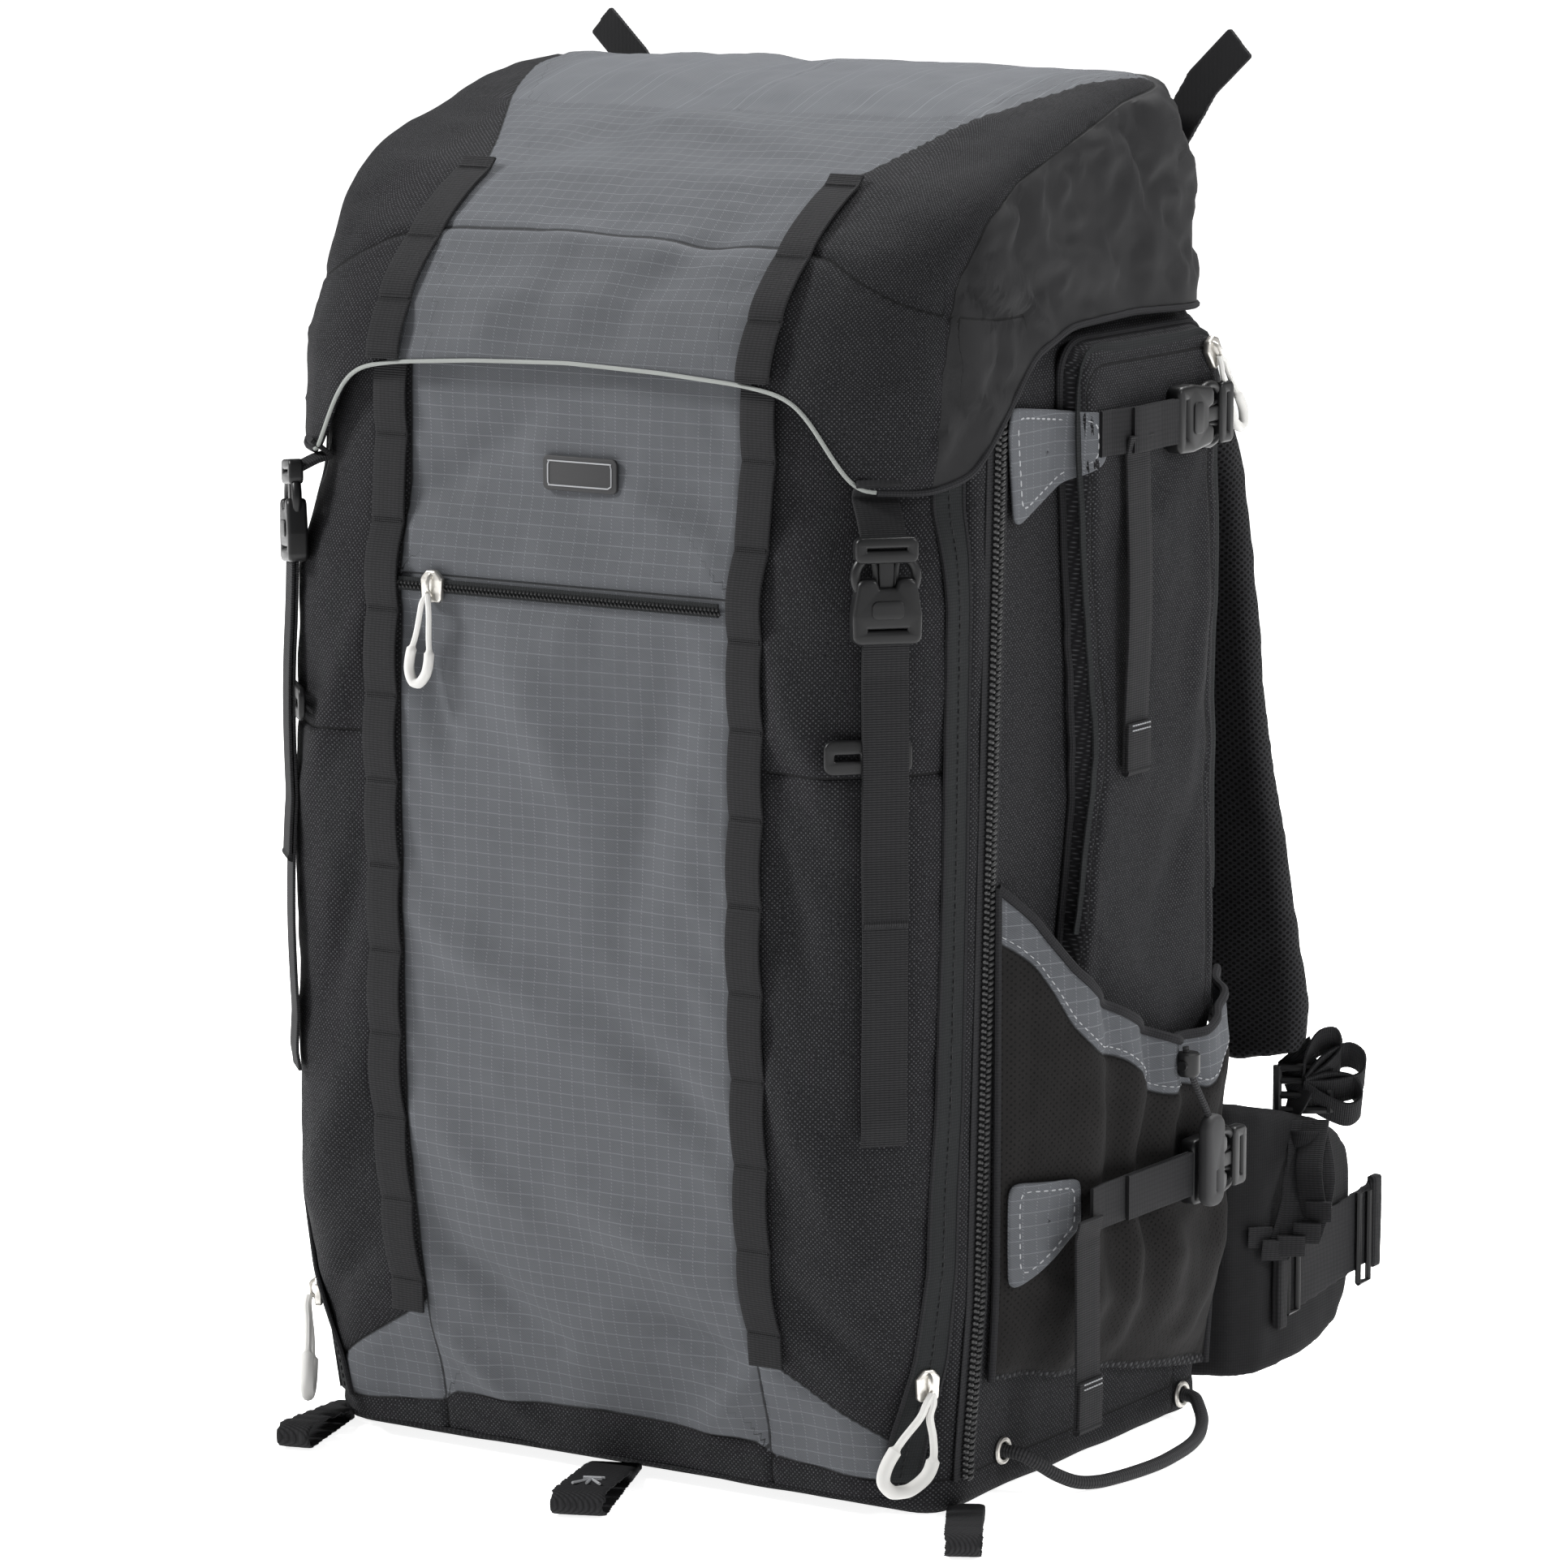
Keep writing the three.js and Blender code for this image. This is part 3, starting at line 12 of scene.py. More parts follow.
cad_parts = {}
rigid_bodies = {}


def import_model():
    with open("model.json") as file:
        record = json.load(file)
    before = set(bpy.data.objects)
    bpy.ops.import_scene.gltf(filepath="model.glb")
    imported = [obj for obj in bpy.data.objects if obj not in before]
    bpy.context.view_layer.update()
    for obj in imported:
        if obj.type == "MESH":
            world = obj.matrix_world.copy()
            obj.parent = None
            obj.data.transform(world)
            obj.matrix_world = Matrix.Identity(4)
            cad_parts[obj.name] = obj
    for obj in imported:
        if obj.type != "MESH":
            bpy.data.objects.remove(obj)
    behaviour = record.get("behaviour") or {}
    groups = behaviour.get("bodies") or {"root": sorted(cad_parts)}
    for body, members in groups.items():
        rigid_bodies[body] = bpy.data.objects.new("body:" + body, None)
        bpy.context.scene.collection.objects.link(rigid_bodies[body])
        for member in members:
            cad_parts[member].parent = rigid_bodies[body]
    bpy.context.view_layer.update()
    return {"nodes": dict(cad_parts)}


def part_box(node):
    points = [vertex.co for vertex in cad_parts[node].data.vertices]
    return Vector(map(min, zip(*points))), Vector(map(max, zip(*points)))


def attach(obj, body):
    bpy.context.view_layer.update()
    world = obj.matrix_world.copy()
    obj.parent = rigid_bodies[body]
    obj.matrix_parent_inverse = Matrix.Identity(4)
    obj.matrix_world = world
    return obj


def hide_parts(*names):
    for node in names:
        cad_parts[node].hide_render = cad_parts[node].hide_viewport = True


bl_info = {
    "name": "Camera Backpack",
    "version": (1, 0, 0),
    "blender": (4, 5, 0),
    "location": "View3D > Sidebar > Backpack",
    "description": "Builds the cloth, webbing, zips and harness of a standing camera backpack",
    "category": "Object",
}

# The empty scene of the start keeps none of its own objects.
for leftover in list(bpy.data.objects):
    bpy.data.objects.remove(leftover)
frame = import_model()
NODES = frame["nodes"]
MM = 0.001
TURN = 2 * math.pi


# ---- Sizes in millimetres, as in the model

BAG = {"front": 119, "lean": 21, "height": 515, "top": 514.7}
POCKET = {"middle": (0, -70), "foot": 9.4, "top": 504.5, "panel": 86}
LID_MIDDLE = np.array([0.0, -25, 468])
HOOD_SEAM = np.array([(-150, 380), (-128, 440), (-123, 490), (-105, 533), (-88, 556),
                      (-64, 571), (-20, 585), (30, 600), (88, 609), (130, 612)])
SHOULDER_SEAM = np.array([(0, 545), (90, 545), (113, 541), (146, 524), (167, 516), (180, 512)])
DAISY = {"centre": 94, "width": 17, "bottom": 66, "top": 489, "first": 81, "step": 37.6}
ZIP = {"level": 394, "left": -85, "right": 81}
STRAP_TURN = 46
CORNER_AXIS = (116, -115)
SIDE_Z = {"upper": 461, "lower": 127}
FAR = 50.0  # a distance that keeps a zone or a seam off a piece


def bag_front(z):
    """How far the front of the main bag stands out at a height."""
    return BAG["front"] - BAG["lean"] * z / BAG["height"]


def strap_width():
    return round(bpy.context.scene.backpack_sizes.strap_width / MM, 3)


def folds():
    return bpy.context.scene.backpack_sizes.folds


# ---- Shader maths

class Val:
    """One socket of a material, with the operators that shader sums need."""

    def __init__(self, tree, socket):
        self.tree, self.socket = tree, socket

    def _math(self, operation, *others):
        return self.tree.node("ShaderNodeMath", {"operation": operation}, self, *others)

    def __add__(self, other):
        return self._math("ADD", other)

    __radd__ = __add__

    def __mul__(self, other):
        return self._math("MULTIPLY", other)

    __rmul__ = __mul__

    def __sub__(self, other):
        return self._math("SUBTRACT", other)

    def __rsub__(self, other):
        return self.tree.node("ShaderNodeMath", {"operation": "SUBTRACT"}, other, self)

    def __pow__(self, other):
        return self._math("POWER", other)

    def __mod__(self, other):
        return self._math("FLOORED_MODULO", other)

    def __abs__(self):
        return self._math("ABSOLUTE")

    def sin(self):
        return self._math("SINE")

    def at_most(self, other):
        return self._math("MINIMUM", other)

    def at_least(self, other):
        return self._math("MAXIMUM", other)

    def ramp(self, low, high):
        """Smooth step from 0 at low to 1 at high."""
        settings = {"interpolation_type": "SMOOTHSTEP"}
        return self.tree.node("ShaderNodeMapRange", settings, self, low, high, 0, 1)


class Tree:
    """A node tree in which every node comes from one method."""

    def __init__(self, tree):
        self.tree = tree

    def feed(self, socket, value):
        """Links a socket, or sets it where the value is a number or a colour."""
        if isinstance(value, Val):
            self.tree.links.new(value.socket, socket)
        elif socket.type == "RGBA":
            socket.default_value = (*value, 1)
        else:
            socket.default_value = value

    def node(self, kind, settings=None, *values, output=0, **named):
        """A node with its settings, then its sockets in order or by name."""
        made = self.tree.nodes.new(kind)
        for key, value in (settings or {}).items():
            setattr(made, key, value)
        enabled = [socket for socket in made.inputs if socket.enabled]
        for socket, value in zip(enabled, values):
            self.feed(socket, value)
        for key, value in named.items():
            self.feed(made.inputs[key.replace("_", " ").title()], value)
        return Val(self, made.outputs[output])


class Finish(Tree):
    """A material whose shader is written as sums on sockets."""

    def __init__(self, name, roughness=0.8, **fixed):
        self.material = bpy.data.materials.new(name)
        self.material.use_nodes = True
        super().__init__(self.material.node_tree)
        self.shader = self.tree.nodes["Principled BSDF"]
        self.feed(self.shader.inputs["Roughness"], roughness)
        for key, value in fixed.items():
            self.feed(self.shader.inputs[key.replace("_", " ").title().replace("Ior", "IOR")], value)

    def attribute(self, name):
        """A piece's own attribute, whole and as its three parts."""
        vector = self.node("ShaderNodeAttribute", {"attribute_name": name}, output="Vector")
        return vector, [self.node("ShaderNodeSeparateXYZ", None, vector, output=axis) for axis in "XYZ"]

    def mix(self, share, first, second):
        return self.node("ShaderNodeMix", {"data_type": "RGBA"}, share, first, second, output=2)

    def clouds(self, vector, scale, detail):
        return self.node("ShaderNodeTexNoise", None, vector=vector, scale=scale, detail=detail, output="Fac")

    def done(self, color=None, roughness=None, height=None, strength=0.4, distance=0.0006):
        """Joins colour, roughness and relief to the shader."""
        for key, value in (("Base Color", color), ("Roughness", roughness)):
            if value is not None:
                self.feed(self.shader.inputs[key], value)
        if height is not None:
            bump = self.node("ShaderNodeBump", None, strength=strength, distance=distance, height=height,
                             output="Normal")
            self.feed(self.shader.inputs["Normal"], bump)
        return self.material


def blend(share, first, second):
    return first + (second - first) * share


def basket(u, v, pitch=1.05):
    """Basket weave: its thread crossings, which carry a painted sheen, and its relief."""
    over = (u * (math.pi / pitch)).sin() * (v * (math.pi / pitch)).sin()
    return over.at_least(0), abs(over)


def ripstop(u, v, grid=6.0):
    """Ripstop: pale rows, dashed columns and a fine twill."""
    row = (abs((v % grid) - grid / 2)).ramp(0.34, 0.08)
    column = (abs((u % grid) - grid / 2)).ramp(0.42, 0.12)
    dash = ((v + u * 0.8) * (TURN / 1.5)).sin().ramp(-0.3, 0.6)
    twill = ((u * 0.75 + v) * (TURN / 0.95)).sin() * 0.5 + 0.5
    return row, column * dash, column, twill


# ---- Finishes

SEAM_BLACK = (0.004, 0.004, 0.004)


def cloth_shell(name, palette):
    """Shell cloth: basket black, grey ripstop and smooth black, chosen by the zones of a piece."""
    f = Finish(name, roughness=0.85, specular_ior_level=0.14)
    lay, (u, v, _) = f.attribute("lay")
    _, (grey, smooth, seam) = f.attribute("zone")
    cloud = f.clouds(lay, 0.05, 4)
    fine = f.clouds(lay, 0.9, 2)
    dots, weave = basket(u, v)
    # Painted sheen: the thread crossings of the black weave are mixed towards a pale colour.
    black = f.mix(dots ** 1.5 * 0.55 * fine.ramp(0.3, 0.6), palette["black"], palette["crossing_sheen"])
    row, dash, column, twill = ripstop(u, v)
    lit = f.mix(twill * 0.5 + cloud * 0.4, palette["grey_dark"], palette["grey"])
    lit = f.mix(column * 0.25, lit, palette["grey_dark"])
    lit = f.mix((row * 0.4).at_least(dash * 0.5), lit, palette["grid"])
    plain = f.mix(cloud.ramp(0.3, 0.7) * 0.6 + fine * 0.2, palette["smooth"], palette["smooth_lit"])
    is_grey = grey.ramp(-0.4, 0.4)
    is_smooth = smooth.ramp(-0.4, 0.4)
    color = f.mix(is_smooth, f.mix(is_grey, black, lit), plain)
    line = abs(seam).ramp(0.9, 0.2)
    color = f.mix(line * 0.75, color, SEAM_BLACK)
    on_grey = twill * 0.25 + row * 0.5 + dash * 0.35
    relief = blend(is_smooth, blend(is_grey, weave * 0.7, on_grey), fine * 0.2)
    rough = blend(is_smooth, blend(is_grey, 0.85 + fine * 0.05, 0.62 + cloud * 0.12), 0.6 + cloud * 0.15)
    return f.done(color, rough, relief - line * 1.4, 0.55, 0.0004)


def webbing(name, dark, lit, rib=1.06):
    """Woven webbing: ribs across it, and faint columns along it."""
    f = Finish(name, roughness=0.75, specular_ior_level=0.14)
    lay, (u, v, _) = f.attribute("lay")
    ribs = abs((v * (math.pi / rib)).sin())
    columns = abs((u * (math.pi / 2.1)).sin())
    fine = f.clouds(lay, 1.1, 2)
    color = f.mix(ribs * (columns * 0.3 + 0.45) + fine * 0.15, dark, lit)
    return f.done(color, 0.7 + fine * 0.15, ribs * (0.6 + columns * 0.4), 0.6, 0.0005)


def moulded(name, color, roughness, **fixed):
    """Moulded plastic or rubber with a faint grain and dulled patches."""
    f = Finish(name, roughness, **fixed)
    place = f.node("ShaderNodeTexCoord", None, output="Object")
    grain = f.clouds(place, 1500, 2)
    patch = f.clouds(place, 60, 3)
    tint = tuple(min(1, c * 1.35 + 0.004) for c in color)
    return f.done(f.mix(patch * 0.6, color, tint), roughness + patch * 0.12 + grain * 0.05, grain, 0.15, 0.0001)


def metal(name, color, roughness):
    """Plated metal with dulled patches."""
    f = Finish(name, roughness, metallic=1.0)
    place = f.node("ShaderNodeTexCoord", None, output="Object")
    patch = f.clouds(place, 300, 3)
    dull = tuple(c * 0.7 for c in color)
    return f.done(f.mix(patch.ramp(0.45, 0.7), color, dull), roughness + patch * 0.2, patch, 0.1, 0.0001)


def felt(name, dark, lit):
    """Felt-like zip tape with a fine knitted rib."""
    f = Finish(name, 0.85, specular_ior_level=0.12)
    lay, (u, v, _) = f.attribute("lay")
    fine = f.clouds(lay, 2.2, 3)
    knit = abs((v * (math.pi / 1.35)).sin()) * abs((u * (math.pi / 1.1)).sin())
    return f.done(f.mix(knit * 0.5 + fine * 0.4, dark, lit), 0.85, knit * 0.6 + fine * 0.4, 0.5, 0.0004)


def netting(name, dark, lit, hole, pitch, rough=0.8):
    """Knitted mesh: rows of small holes, every second row shifted, with painted shade in the holes."""
    f = Finish(name, rough, specular_ior_level=0.12)
    lay, (u, v, _) = f.attribute("lay")
    half = pitch / 2
    first = ((abs((u % pitch) - half)) ** 2 + (abs((v % pitch) - half)) ** 2) ** 0.5
    second = ((abs(((u + half) % pitch) - half)) ** 2 + (abs(((v + half) % pitch) - half)) ** 2) ** 0.5
    ring = first.at_most(second)
    pit = ring.ramp(hole, hole * 0.55)
    cloud = f.clouds(lay, 0.06, 3)
    # The holes are painted near black: the dark layer behind them, with painted shade over it.
    color = f.mix(pit, f.mix(cloud * 0.8, dark, lit), tuple(c * 0.15 for c in dark))
    return f.done(color, rough, 1 - pit, 0.8, 0.0006)


def bottle_cloth(name, palette):
    """Bottle pocket: grey collar above, stretch mesh in the middle, coarse basket boot below."""
    f = Finish(name, 0.85, specular_ior_level=0.12)
    lay, (u, v, _) = f.attribute("lay")
    _, (collar, boot, seam) = f.attribute("zone")
    row, dash, _, twill = ripstop(u, v)
    cloud = f.clouds(lay, 0.07, 4)
    lit = f.mix(twill * 0.5 + cloud * 0.4, palette["grey_dark"], palette["grey"])
    lit = f.mix((row * 0.5).at_least(dash * 0.5), lit, palette["grid"])
    holes = ((u * (math.pi / 1.6)).sin() * (v * (math.pi / 1.6)).sin()).ramp(0.35, 0.8)
    stripes = abs((u * (math.pi / 4.8)).sin()).ramp(0.2, 0.6)
    knit = f.mix(cloud * 0.8, palette["mesh"], palette["mesh_lit"])
    # The mesh holes are painted near black: the black bag behind them, with painted shade from inside the
    # pocket.
    mesh = f.mix(holes * stripes, knit, (0.003, 0.003, 0.003))
    dots, weave = basket(u, v, 2.1)
    # Painted sheen: the thread crossings of the coarse boot are mixed towards a pale colour.
    coarse = f.mix(dots * 0.5, palette["black"], palette["crossing_sheen"])
    is_collar, is_boot = collar.ramp(-0.4, 0.4), boot.ramp(-0.4, 0.4)
    color = f.mix(is_boot, f.mix(is_collar, mesh, lit), coarse)
    line = abs(seam).ramp(1.2, 0.3)
    color = f.mix(line * 0.7, color, SEAM_BLACK)
    relief = blend(is_boot, blend(is_collar, 1 - holes * stripes, twill * 0.3 + row * 0.4), weave)
    return f.done(color, 0.8, relief - line, 0.5, 0.0005)


# The pale colour of the black weave's thread crossings is a painted sheen.
PALETTE = {
    "black": (0.0075, 0.0075, 0.0085), "crossing_sheen": (0.11, 0.112, 0.118),
    "grey": (0.09, 0.094, 0.102), "grey_dark": (0.056, 0.059, 0.065), "grid": (0.17, 0.178, 0.192),
    "smooth": (0.012, 0.012, 0.0128), "smooth_lit": (0.016, 0.016, 0.0168),
    "mesh": (0.0062, 0.0059, 0.0059), "mesh_lit": (0.0125, 0.0115, 0.0113),
}

FINISHES = {}


def finishes():
    """The finishes by name, made at the first call."""
    if not FINISHES:
        looks = bpy.context.scene.backpack_looks
        palette = dict(PALETTE, grey=tuple(looks.grey), black=tuple(looks.black))
        FINISHES.update({
            "shell": cloth_shell("shell_cloth", palette),
            "webbing": webbing("black_webbing", (0.0055, 0.0055, 0.006), (0.023, 0.023, 0.0245)),
            "thread": webbing("black_thread", (0.004, 0.004, 0.004), (0.035, 0.035, 0.037), 0.7),
            "plastic": moulded("black_acetal", (0.0045, 0.0046, 0.005), 0.3, specular_ior_level=0.26),
            "coil": moulded("coil_teeth", (0.003, 0.003, 0.0034), 0.3, specular_ior_level=0.36),
            "pad_cloth": felt("pad_cloth", (0.0075, 0.0075, 0.008), (0.016, 0.016, 0.017)),
            "rubber": moulded("black_rubber", (0.011, 0.011, 0.012), 0.6),
            "pale": moulded("pale_cord", (0.46, 0.455, 0.44), 0.55),
            "stitch": moulded("pale_thread", (0.25, 0.255, 0.265), 0.7),
            "piping": moulded("pale_piping", (0.19, 0.2, 0.19), 0.6),
            "dark_piping": felt("dark_piping", (0.008, 0.008, 0.009), (0.03, 0.03, 0.032)),
            "nickel": metal("nickel", (0.62, 0.6, 0.56), 0.28),
            "tape": felt("zip_tape", (0.0085, 0.0092, 0.0096), (0.021, 0.0225, 0.0235)),
            "bottle": bottle_cloth("bottle_cloth", palette),
            "spacer": netting("spacer_mesh", (0.012, 0.012, 0.013), (0.022, 0.022, 0.024), 0.9, 3.0),
            "cord": webbing("braided_cord", (0.008, 0.008, 0.009), (0.05, 0.05, 0.052), 1.4),
        })
    return FINISHES


# ---- Mesh building, in millimetres

class Form:
    """Points and faces of a piece, with the lay of its cloth and its zones."""

    def __init__(self):
        self.points, self.faces, self.lay, self.zone = [], [], [], []
        self.count = 0

    def add(self, points, faces, lay=None, zone=None):
        points = np.asarray(points, float).reshape(-1, 3)
        self.points.append(points)
        self.faces += [tuple(int(i) + self.count for i in face) for face in faces]
        self.lay.append(points if lay is None else np.asarray(lay, float).reshape(-1, 3))
        blank = np.full((len(points), 3), -FAR)
        self.zone.append(blank if zone is None else np.asarray(zone, float).reshape(-1, 3))
        self.count += len(points)
        return self

    def place(self, origin, right, up):
        """Turns and moves the form: its x lies along right and its y along up."""
        basis = np.stack([np.asarray(right, float), np.asarray(up, float), np.cross(right, up)])
        self.points = [p @ basis + np.asarray(origin, float) for p in self.points]
        return self

    def shift(self, x, y, z):
        self.points = [p + [x, y, z] for p in self.points]
        return self

    def join(self, other):
        for points, lay, zone in zip(other.points, other.lay, other.zone):
            self.points.append(points)
            self.lay.append(lay)
            self.zone.append(zone)
        self.faces += [tuple(i + self.count for i in face) for face in other.faces]
        self.count += other.count
        return self

    def mirrored(self):
        other = Form()
        other.points = [p * np.array([-1, 1, 1]) for p in self.points]
        other.lay = [l.copy() for l in self.lay]
        other.zone = [z.copy() for z in self.zone]
        other.faces = [tuple(reversed(face)) for face in self.faces]
        other.count = self.count
        return other

    def make(self, name, finish, slot, thickness=0, sharp=40, replaces=()):
        """The form as a piece that rides on the root and stands for the nodes named."""
        mesh = bpy.data.meshes.new(name)
        points = np.concatenate(self.points) * MM
        mesh.from_pydata(points.tolist(), [], self.faces)
        mesh.validate()
        for key, rows in (("lay", self.lay), ("zone", self.zone)):
            mesh.attributes.new(key, "FLOAT_VECTOR", "POINT").data.foreach_set(
                "vector", np.concatenate(rows).astype(np.float32).ravel())
        mesh.materials.append(finishes()[finish])
        mesh.shade_smooth()
        if sharp:
            mesh.set_sharp_from_angle(angle=math.radians(sharp))
        piece = bpy.data.objects.new(name, mesh)
        bpy.context.scene.collection.objects.link(piece)
        if thickness:
            wall = piece.modifiers.new("wall", "SOLIDIFY")
            wall.thickness, wall.offset = thickness * MM, -1
        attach(piece, "root")
        if replaces:
            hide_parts(*replaces)
        return piece


def pair(name, form, finish, slot, replaces=True, **kinds):
    """Makes a piece on the right and its mirror on the left."""
    made = []
    for side, shape in (("right", form), ("left", form.mirrored())):
        stands = (f"{name}_{side}",) if replaces is True else tuple(f"{r}_{side}" for r in (replaces or ()))
        made.append(shape.make(f"{name}_{side}_look", finish, slot, replaces=stands, **kinds))
    return made


def grid_faces(rows, columns, closed=False):
    index = np.arange(rows * columns).reshape(rows, columns)
    near = index if closed else index[:, :-1]
    far = np.roll(index, -1, 1) if closed else index[:, 1:]
    return np.stack([near[:-1], far[:-1], far[1:], near[1:]], -1).reshape(-1, 4)


def walked(path):
    """How far each point of a path lies along it."""
    return np.concatenate([[0], np.cumsum(np.linalg.norm(np.diff(path, axis=0), axis=1))])


def points_at(path, reach, spots):
    return np.stack([np.interp(spots, reach, path[:, k]) for k in range(3)], 1)


def smooth_path(points, step=2.0):
    """Even points along a smooth curve through the given ones."""
    p = np.asarray(points, float)
    if len(p) > 2:
        ends = np.vstack([2 * p[0] - p[1], p, 2 * p[-1] - p[-2]])
        t = np.linspace(0, 1, 12, endpoint=False)[:, None]
        pieces = []
        for a, b, c, d in zip(ends[:-3], ends[1:-2], ends[2:-1], ends[3:]):
            cubic = (3 * b - a - 3 * c + d) * t ** 3
            pieces.append(0.5 * (2 * b + (c - a) * t + (2 * a - 5 * b + 4 * c - d) * t ** 2 + cubic))
        p = np.vstack([*pieces, p[-1:]])
    reach = walked(p)
    return points_at(p, reach, np.linspace(0, reach[-1], max(int(reach[-1] / step), 2) + 1))


def unit(v):
    v = np.asarray(v, float)
    return v / np.maximum(np.linalg.norm(v, axis=-1, keepdims=True), 1e-9)


def tangents(path):
    return unit(np.gradient(path, axis=0))


def rolling(values, reach):
    """Mean of each value and its neighbours, with the ends held."""
    window = 2 * reach + 1
    return np.convolve(np.pad(values, reach, "edge"), np.ones(window) / window, "valid")


def swept(points, across, reach, depth):
    """Closed form from rings of points along a path, with its lay across, along and in depth."""
    rows, columns = points.shape[:2]
    last = (rows - 1) * columns
    faces = [tuple(f) for f in grid_faces(rows, columns, True)]
    faces += [tuple(range(columns))[::-1], tuple(range(last, last + columns))]
    lay = [np.broadcast_to(part, (rows, columns)) for part in (across, reach[:, None], depth)]
    return Form().add(points, faces, np.stack(lay, -1))


STRAP_SECTION = np.array([
    (-1, 0.5), (-0.985, 0.12), (-0.93, 0), (-0.5, 0), (0, 0), (0.5, 0), (0.93, 0), (0.985, 0.12),
    (1, 0.5), (0.985, 0.88), (0.93, 1), (0.5, 1), (0, 1), (-0.5, 1), (-0.93, 1), (-0.985, 0.88)])
OUTER_CORNER = 9


def strap(path, across, width, thickness=1.5, lift=0.3, step=2.0, even=True):
    """Webbing along a path: its outer face is on the side of the path's direction crossed with across."""
    path = smooth_path(path, step) if even else np.asarray(path, float)
    side = unit(np.broadcast_to(across, path.shape))
    out = unit(np.cross(tangents(path), side))
    s, n = STRAP_SECTION[:, 0], STRAP_SECTION[:, 1]
    wide = np.broadcast_to(np.asarray(width, float), (len(path),)) / 2
    points = (path[:, None] + side[:, None] * (s[None, :, None] * wide[:, None, None])
              + out[:, None] * (lift + n * thickness)[None, :, None])
    return swept(points, s * wide[0], walked(path), n)


def facing_strap(path, across, out, *sizes, **kinds):
    """Webbing whose outer face looks towards out, whichever way its path runs."""
    form = strap(path, across, *sizes, **kinds)
    if (form.points[0][OUTER_CORNER] - np.asarray(path[0])) @ np.asarray(out) < 0:
        form = strap(path, -np.asarray(across), *sizes, **kinds)
    return form


def tube(path, radius, sides=10, step=2.0, even=True):
    """Round cord along a path."""
    path = smooth_path(path, step) if even else np.asarray(path, float)
    along = tangents(path)
    hint = np.array([0.0, 0, 1]) if abs(along[0][2]) < 0.9 else np.array([1.0, 0, 0])
    frames = []
    for t in along:
        hint = unit(hint - t * (hint @ t))
        frames.append((hint, np.cross(t, hint)))
    angle = np.linspace(0, TURN, sides, endpoint=False)
    wide = np.broadcast_to(np.asarray(radius, float), (len(path),))
    points = np.array([p + r * (np.outer(np.cos(angle), a) + np.outer(np.sin(angle), b))
                       for p, (a, b), r in zip(path, frames, wide)])
    return swept(points, angle * wide[0], walked(path), 0.0)


def slab(outline, thickness, holes=(), bevel=0.5, lift=0.0):
    """Flat outline with rounded edges in its own plane, rising from lift."""
    curve = bpy.data.curves.new("slab", "CURVE")
    curve.dimensions, curve.fill_mode = "2D", "BOTH"
    curve.extrude = max(thickness / 2 - bevel, 0.01)
    curve.bevel_depth, curve.bevel_resolution = bevel, 2
    for ring in (outline, *holes):
        spline = curve.splines.new("POLY")
        spline.points.add(len(ring) - 1)
        for point, (x, y) in zip(spline.points, ring):
            point.co = (x, y, 0, 1)
        spline.use_cyclic_u = True
    holder = bpy.data.objects.new("slab", curve)
    bpy.context.scene.collection.objects.link(holder)
    mesh = bpy.data.meshes.new_from_object(holder.evaluated_get(bpy.context.evaluated_depsgraph_get()))
    bpy.data.objects.remove(holder)
    bpy.data.curves.remove(curve)
    co = np.array([v.co for v in mesh.vertices], float).reshape(-1, 3)
    keys = {}
    index = [keys.setdefault(tuple(np.round(p, 4)), len(keys)) for p in co]
    points = np.array(list(keys))
    faces = [tuple(dict.fromkeys(index[i] for i in f.vertices)) for f in mesh.polygons]
    bpy.data.meshes.remove(mesh)
    points[:, 2] += lift + thickness / 2
    return Form().add(points, [f for f in faces if len(f) > 2])


def round_outline(corners, radius, steps=5):
    """Closed outline through corners [x, y], each rounded by the radius."""
    out = []
    n = len(corners)
    radii = radius if hasattr(radius, "__len__") else [radius] * n
    for i, (here, r) in enumerate(zip(corners, radii)):
        here = np.array(here, float)
        a = unit(np.array(corners[i - 1], float) - here)
        b = unit(np.array(corners[(i + 1) % n], float) - here)
        half = math.acos(np.clip(a @ b, -1, 1)) / 2
        centre = here + unit(a + b) * (r / math.sin(half))
        start = here + a * (r / math.tan(half)) - centre
        end = here + b * (r / math.tan(half)) - centre
        t0 = math.atan2(start[1], start[0])
        turn = (math.atan2(end[1], end[0]) - t0 + math.pi) % TURN - math.pi
        for s in range(steps + 1):
            angle = t0 + turn * s / steps
            out.append((centre[0] + r * math.cos(angle), centre[1] + r * math.sin(angle)))
    return out


def box_outline(width, height, radius, steps=5):
    w, h = width / 2, height / 2
    return round_outline([(w, -h), (w, h), (-w, h), (-w, -h)], radius, steps)


def stitches(path, out, length=3.0, pitch=4.2, width=0.7, height=0.35):
    """A row of thread stitches along a path, lying on the side of out."""
    path = np.asarray(path, float)
    reach = walked(path)
    form = Form()
    outs = np.broadcast_to(np.asarray(out, float), path.shape)
    sides = 6
    angle = np.linspace(0, TURN, sides, endpoint=False)
    pairs = [(i, (i + 1) % sides) for i in range(sides)]
    faces = [(0, 1 + j, 1 + i) for i, j in pairs]
    faces += [(1 + i, 1 + j, 1 + sides + j, 1 + sides + i) for i, j in pairs]
    faces += [(1 + 2 * sides, 1 + sides + i, 1 + sides + j) for i, j in pairs]
    for start in np.arange(pitch / 2, reach[-1] - length / 2, pitch):
        a, mid, b = points_at(path, reach, [start, start + length / 2, start + length])
        n = unit(points_at(outs, reach, [start])[0])
        d = unit(b - a)
        s = np.cross(d, n)
        ring = np.outer(np.cos(angle), s) * width / 2 + np.outer(np.sin(angle), n) * height
        form.add(np.vstack([a, mid - d * length * 0.3 + ring, mid + d * length * 0.3 + ring, b]), faces)
    return form


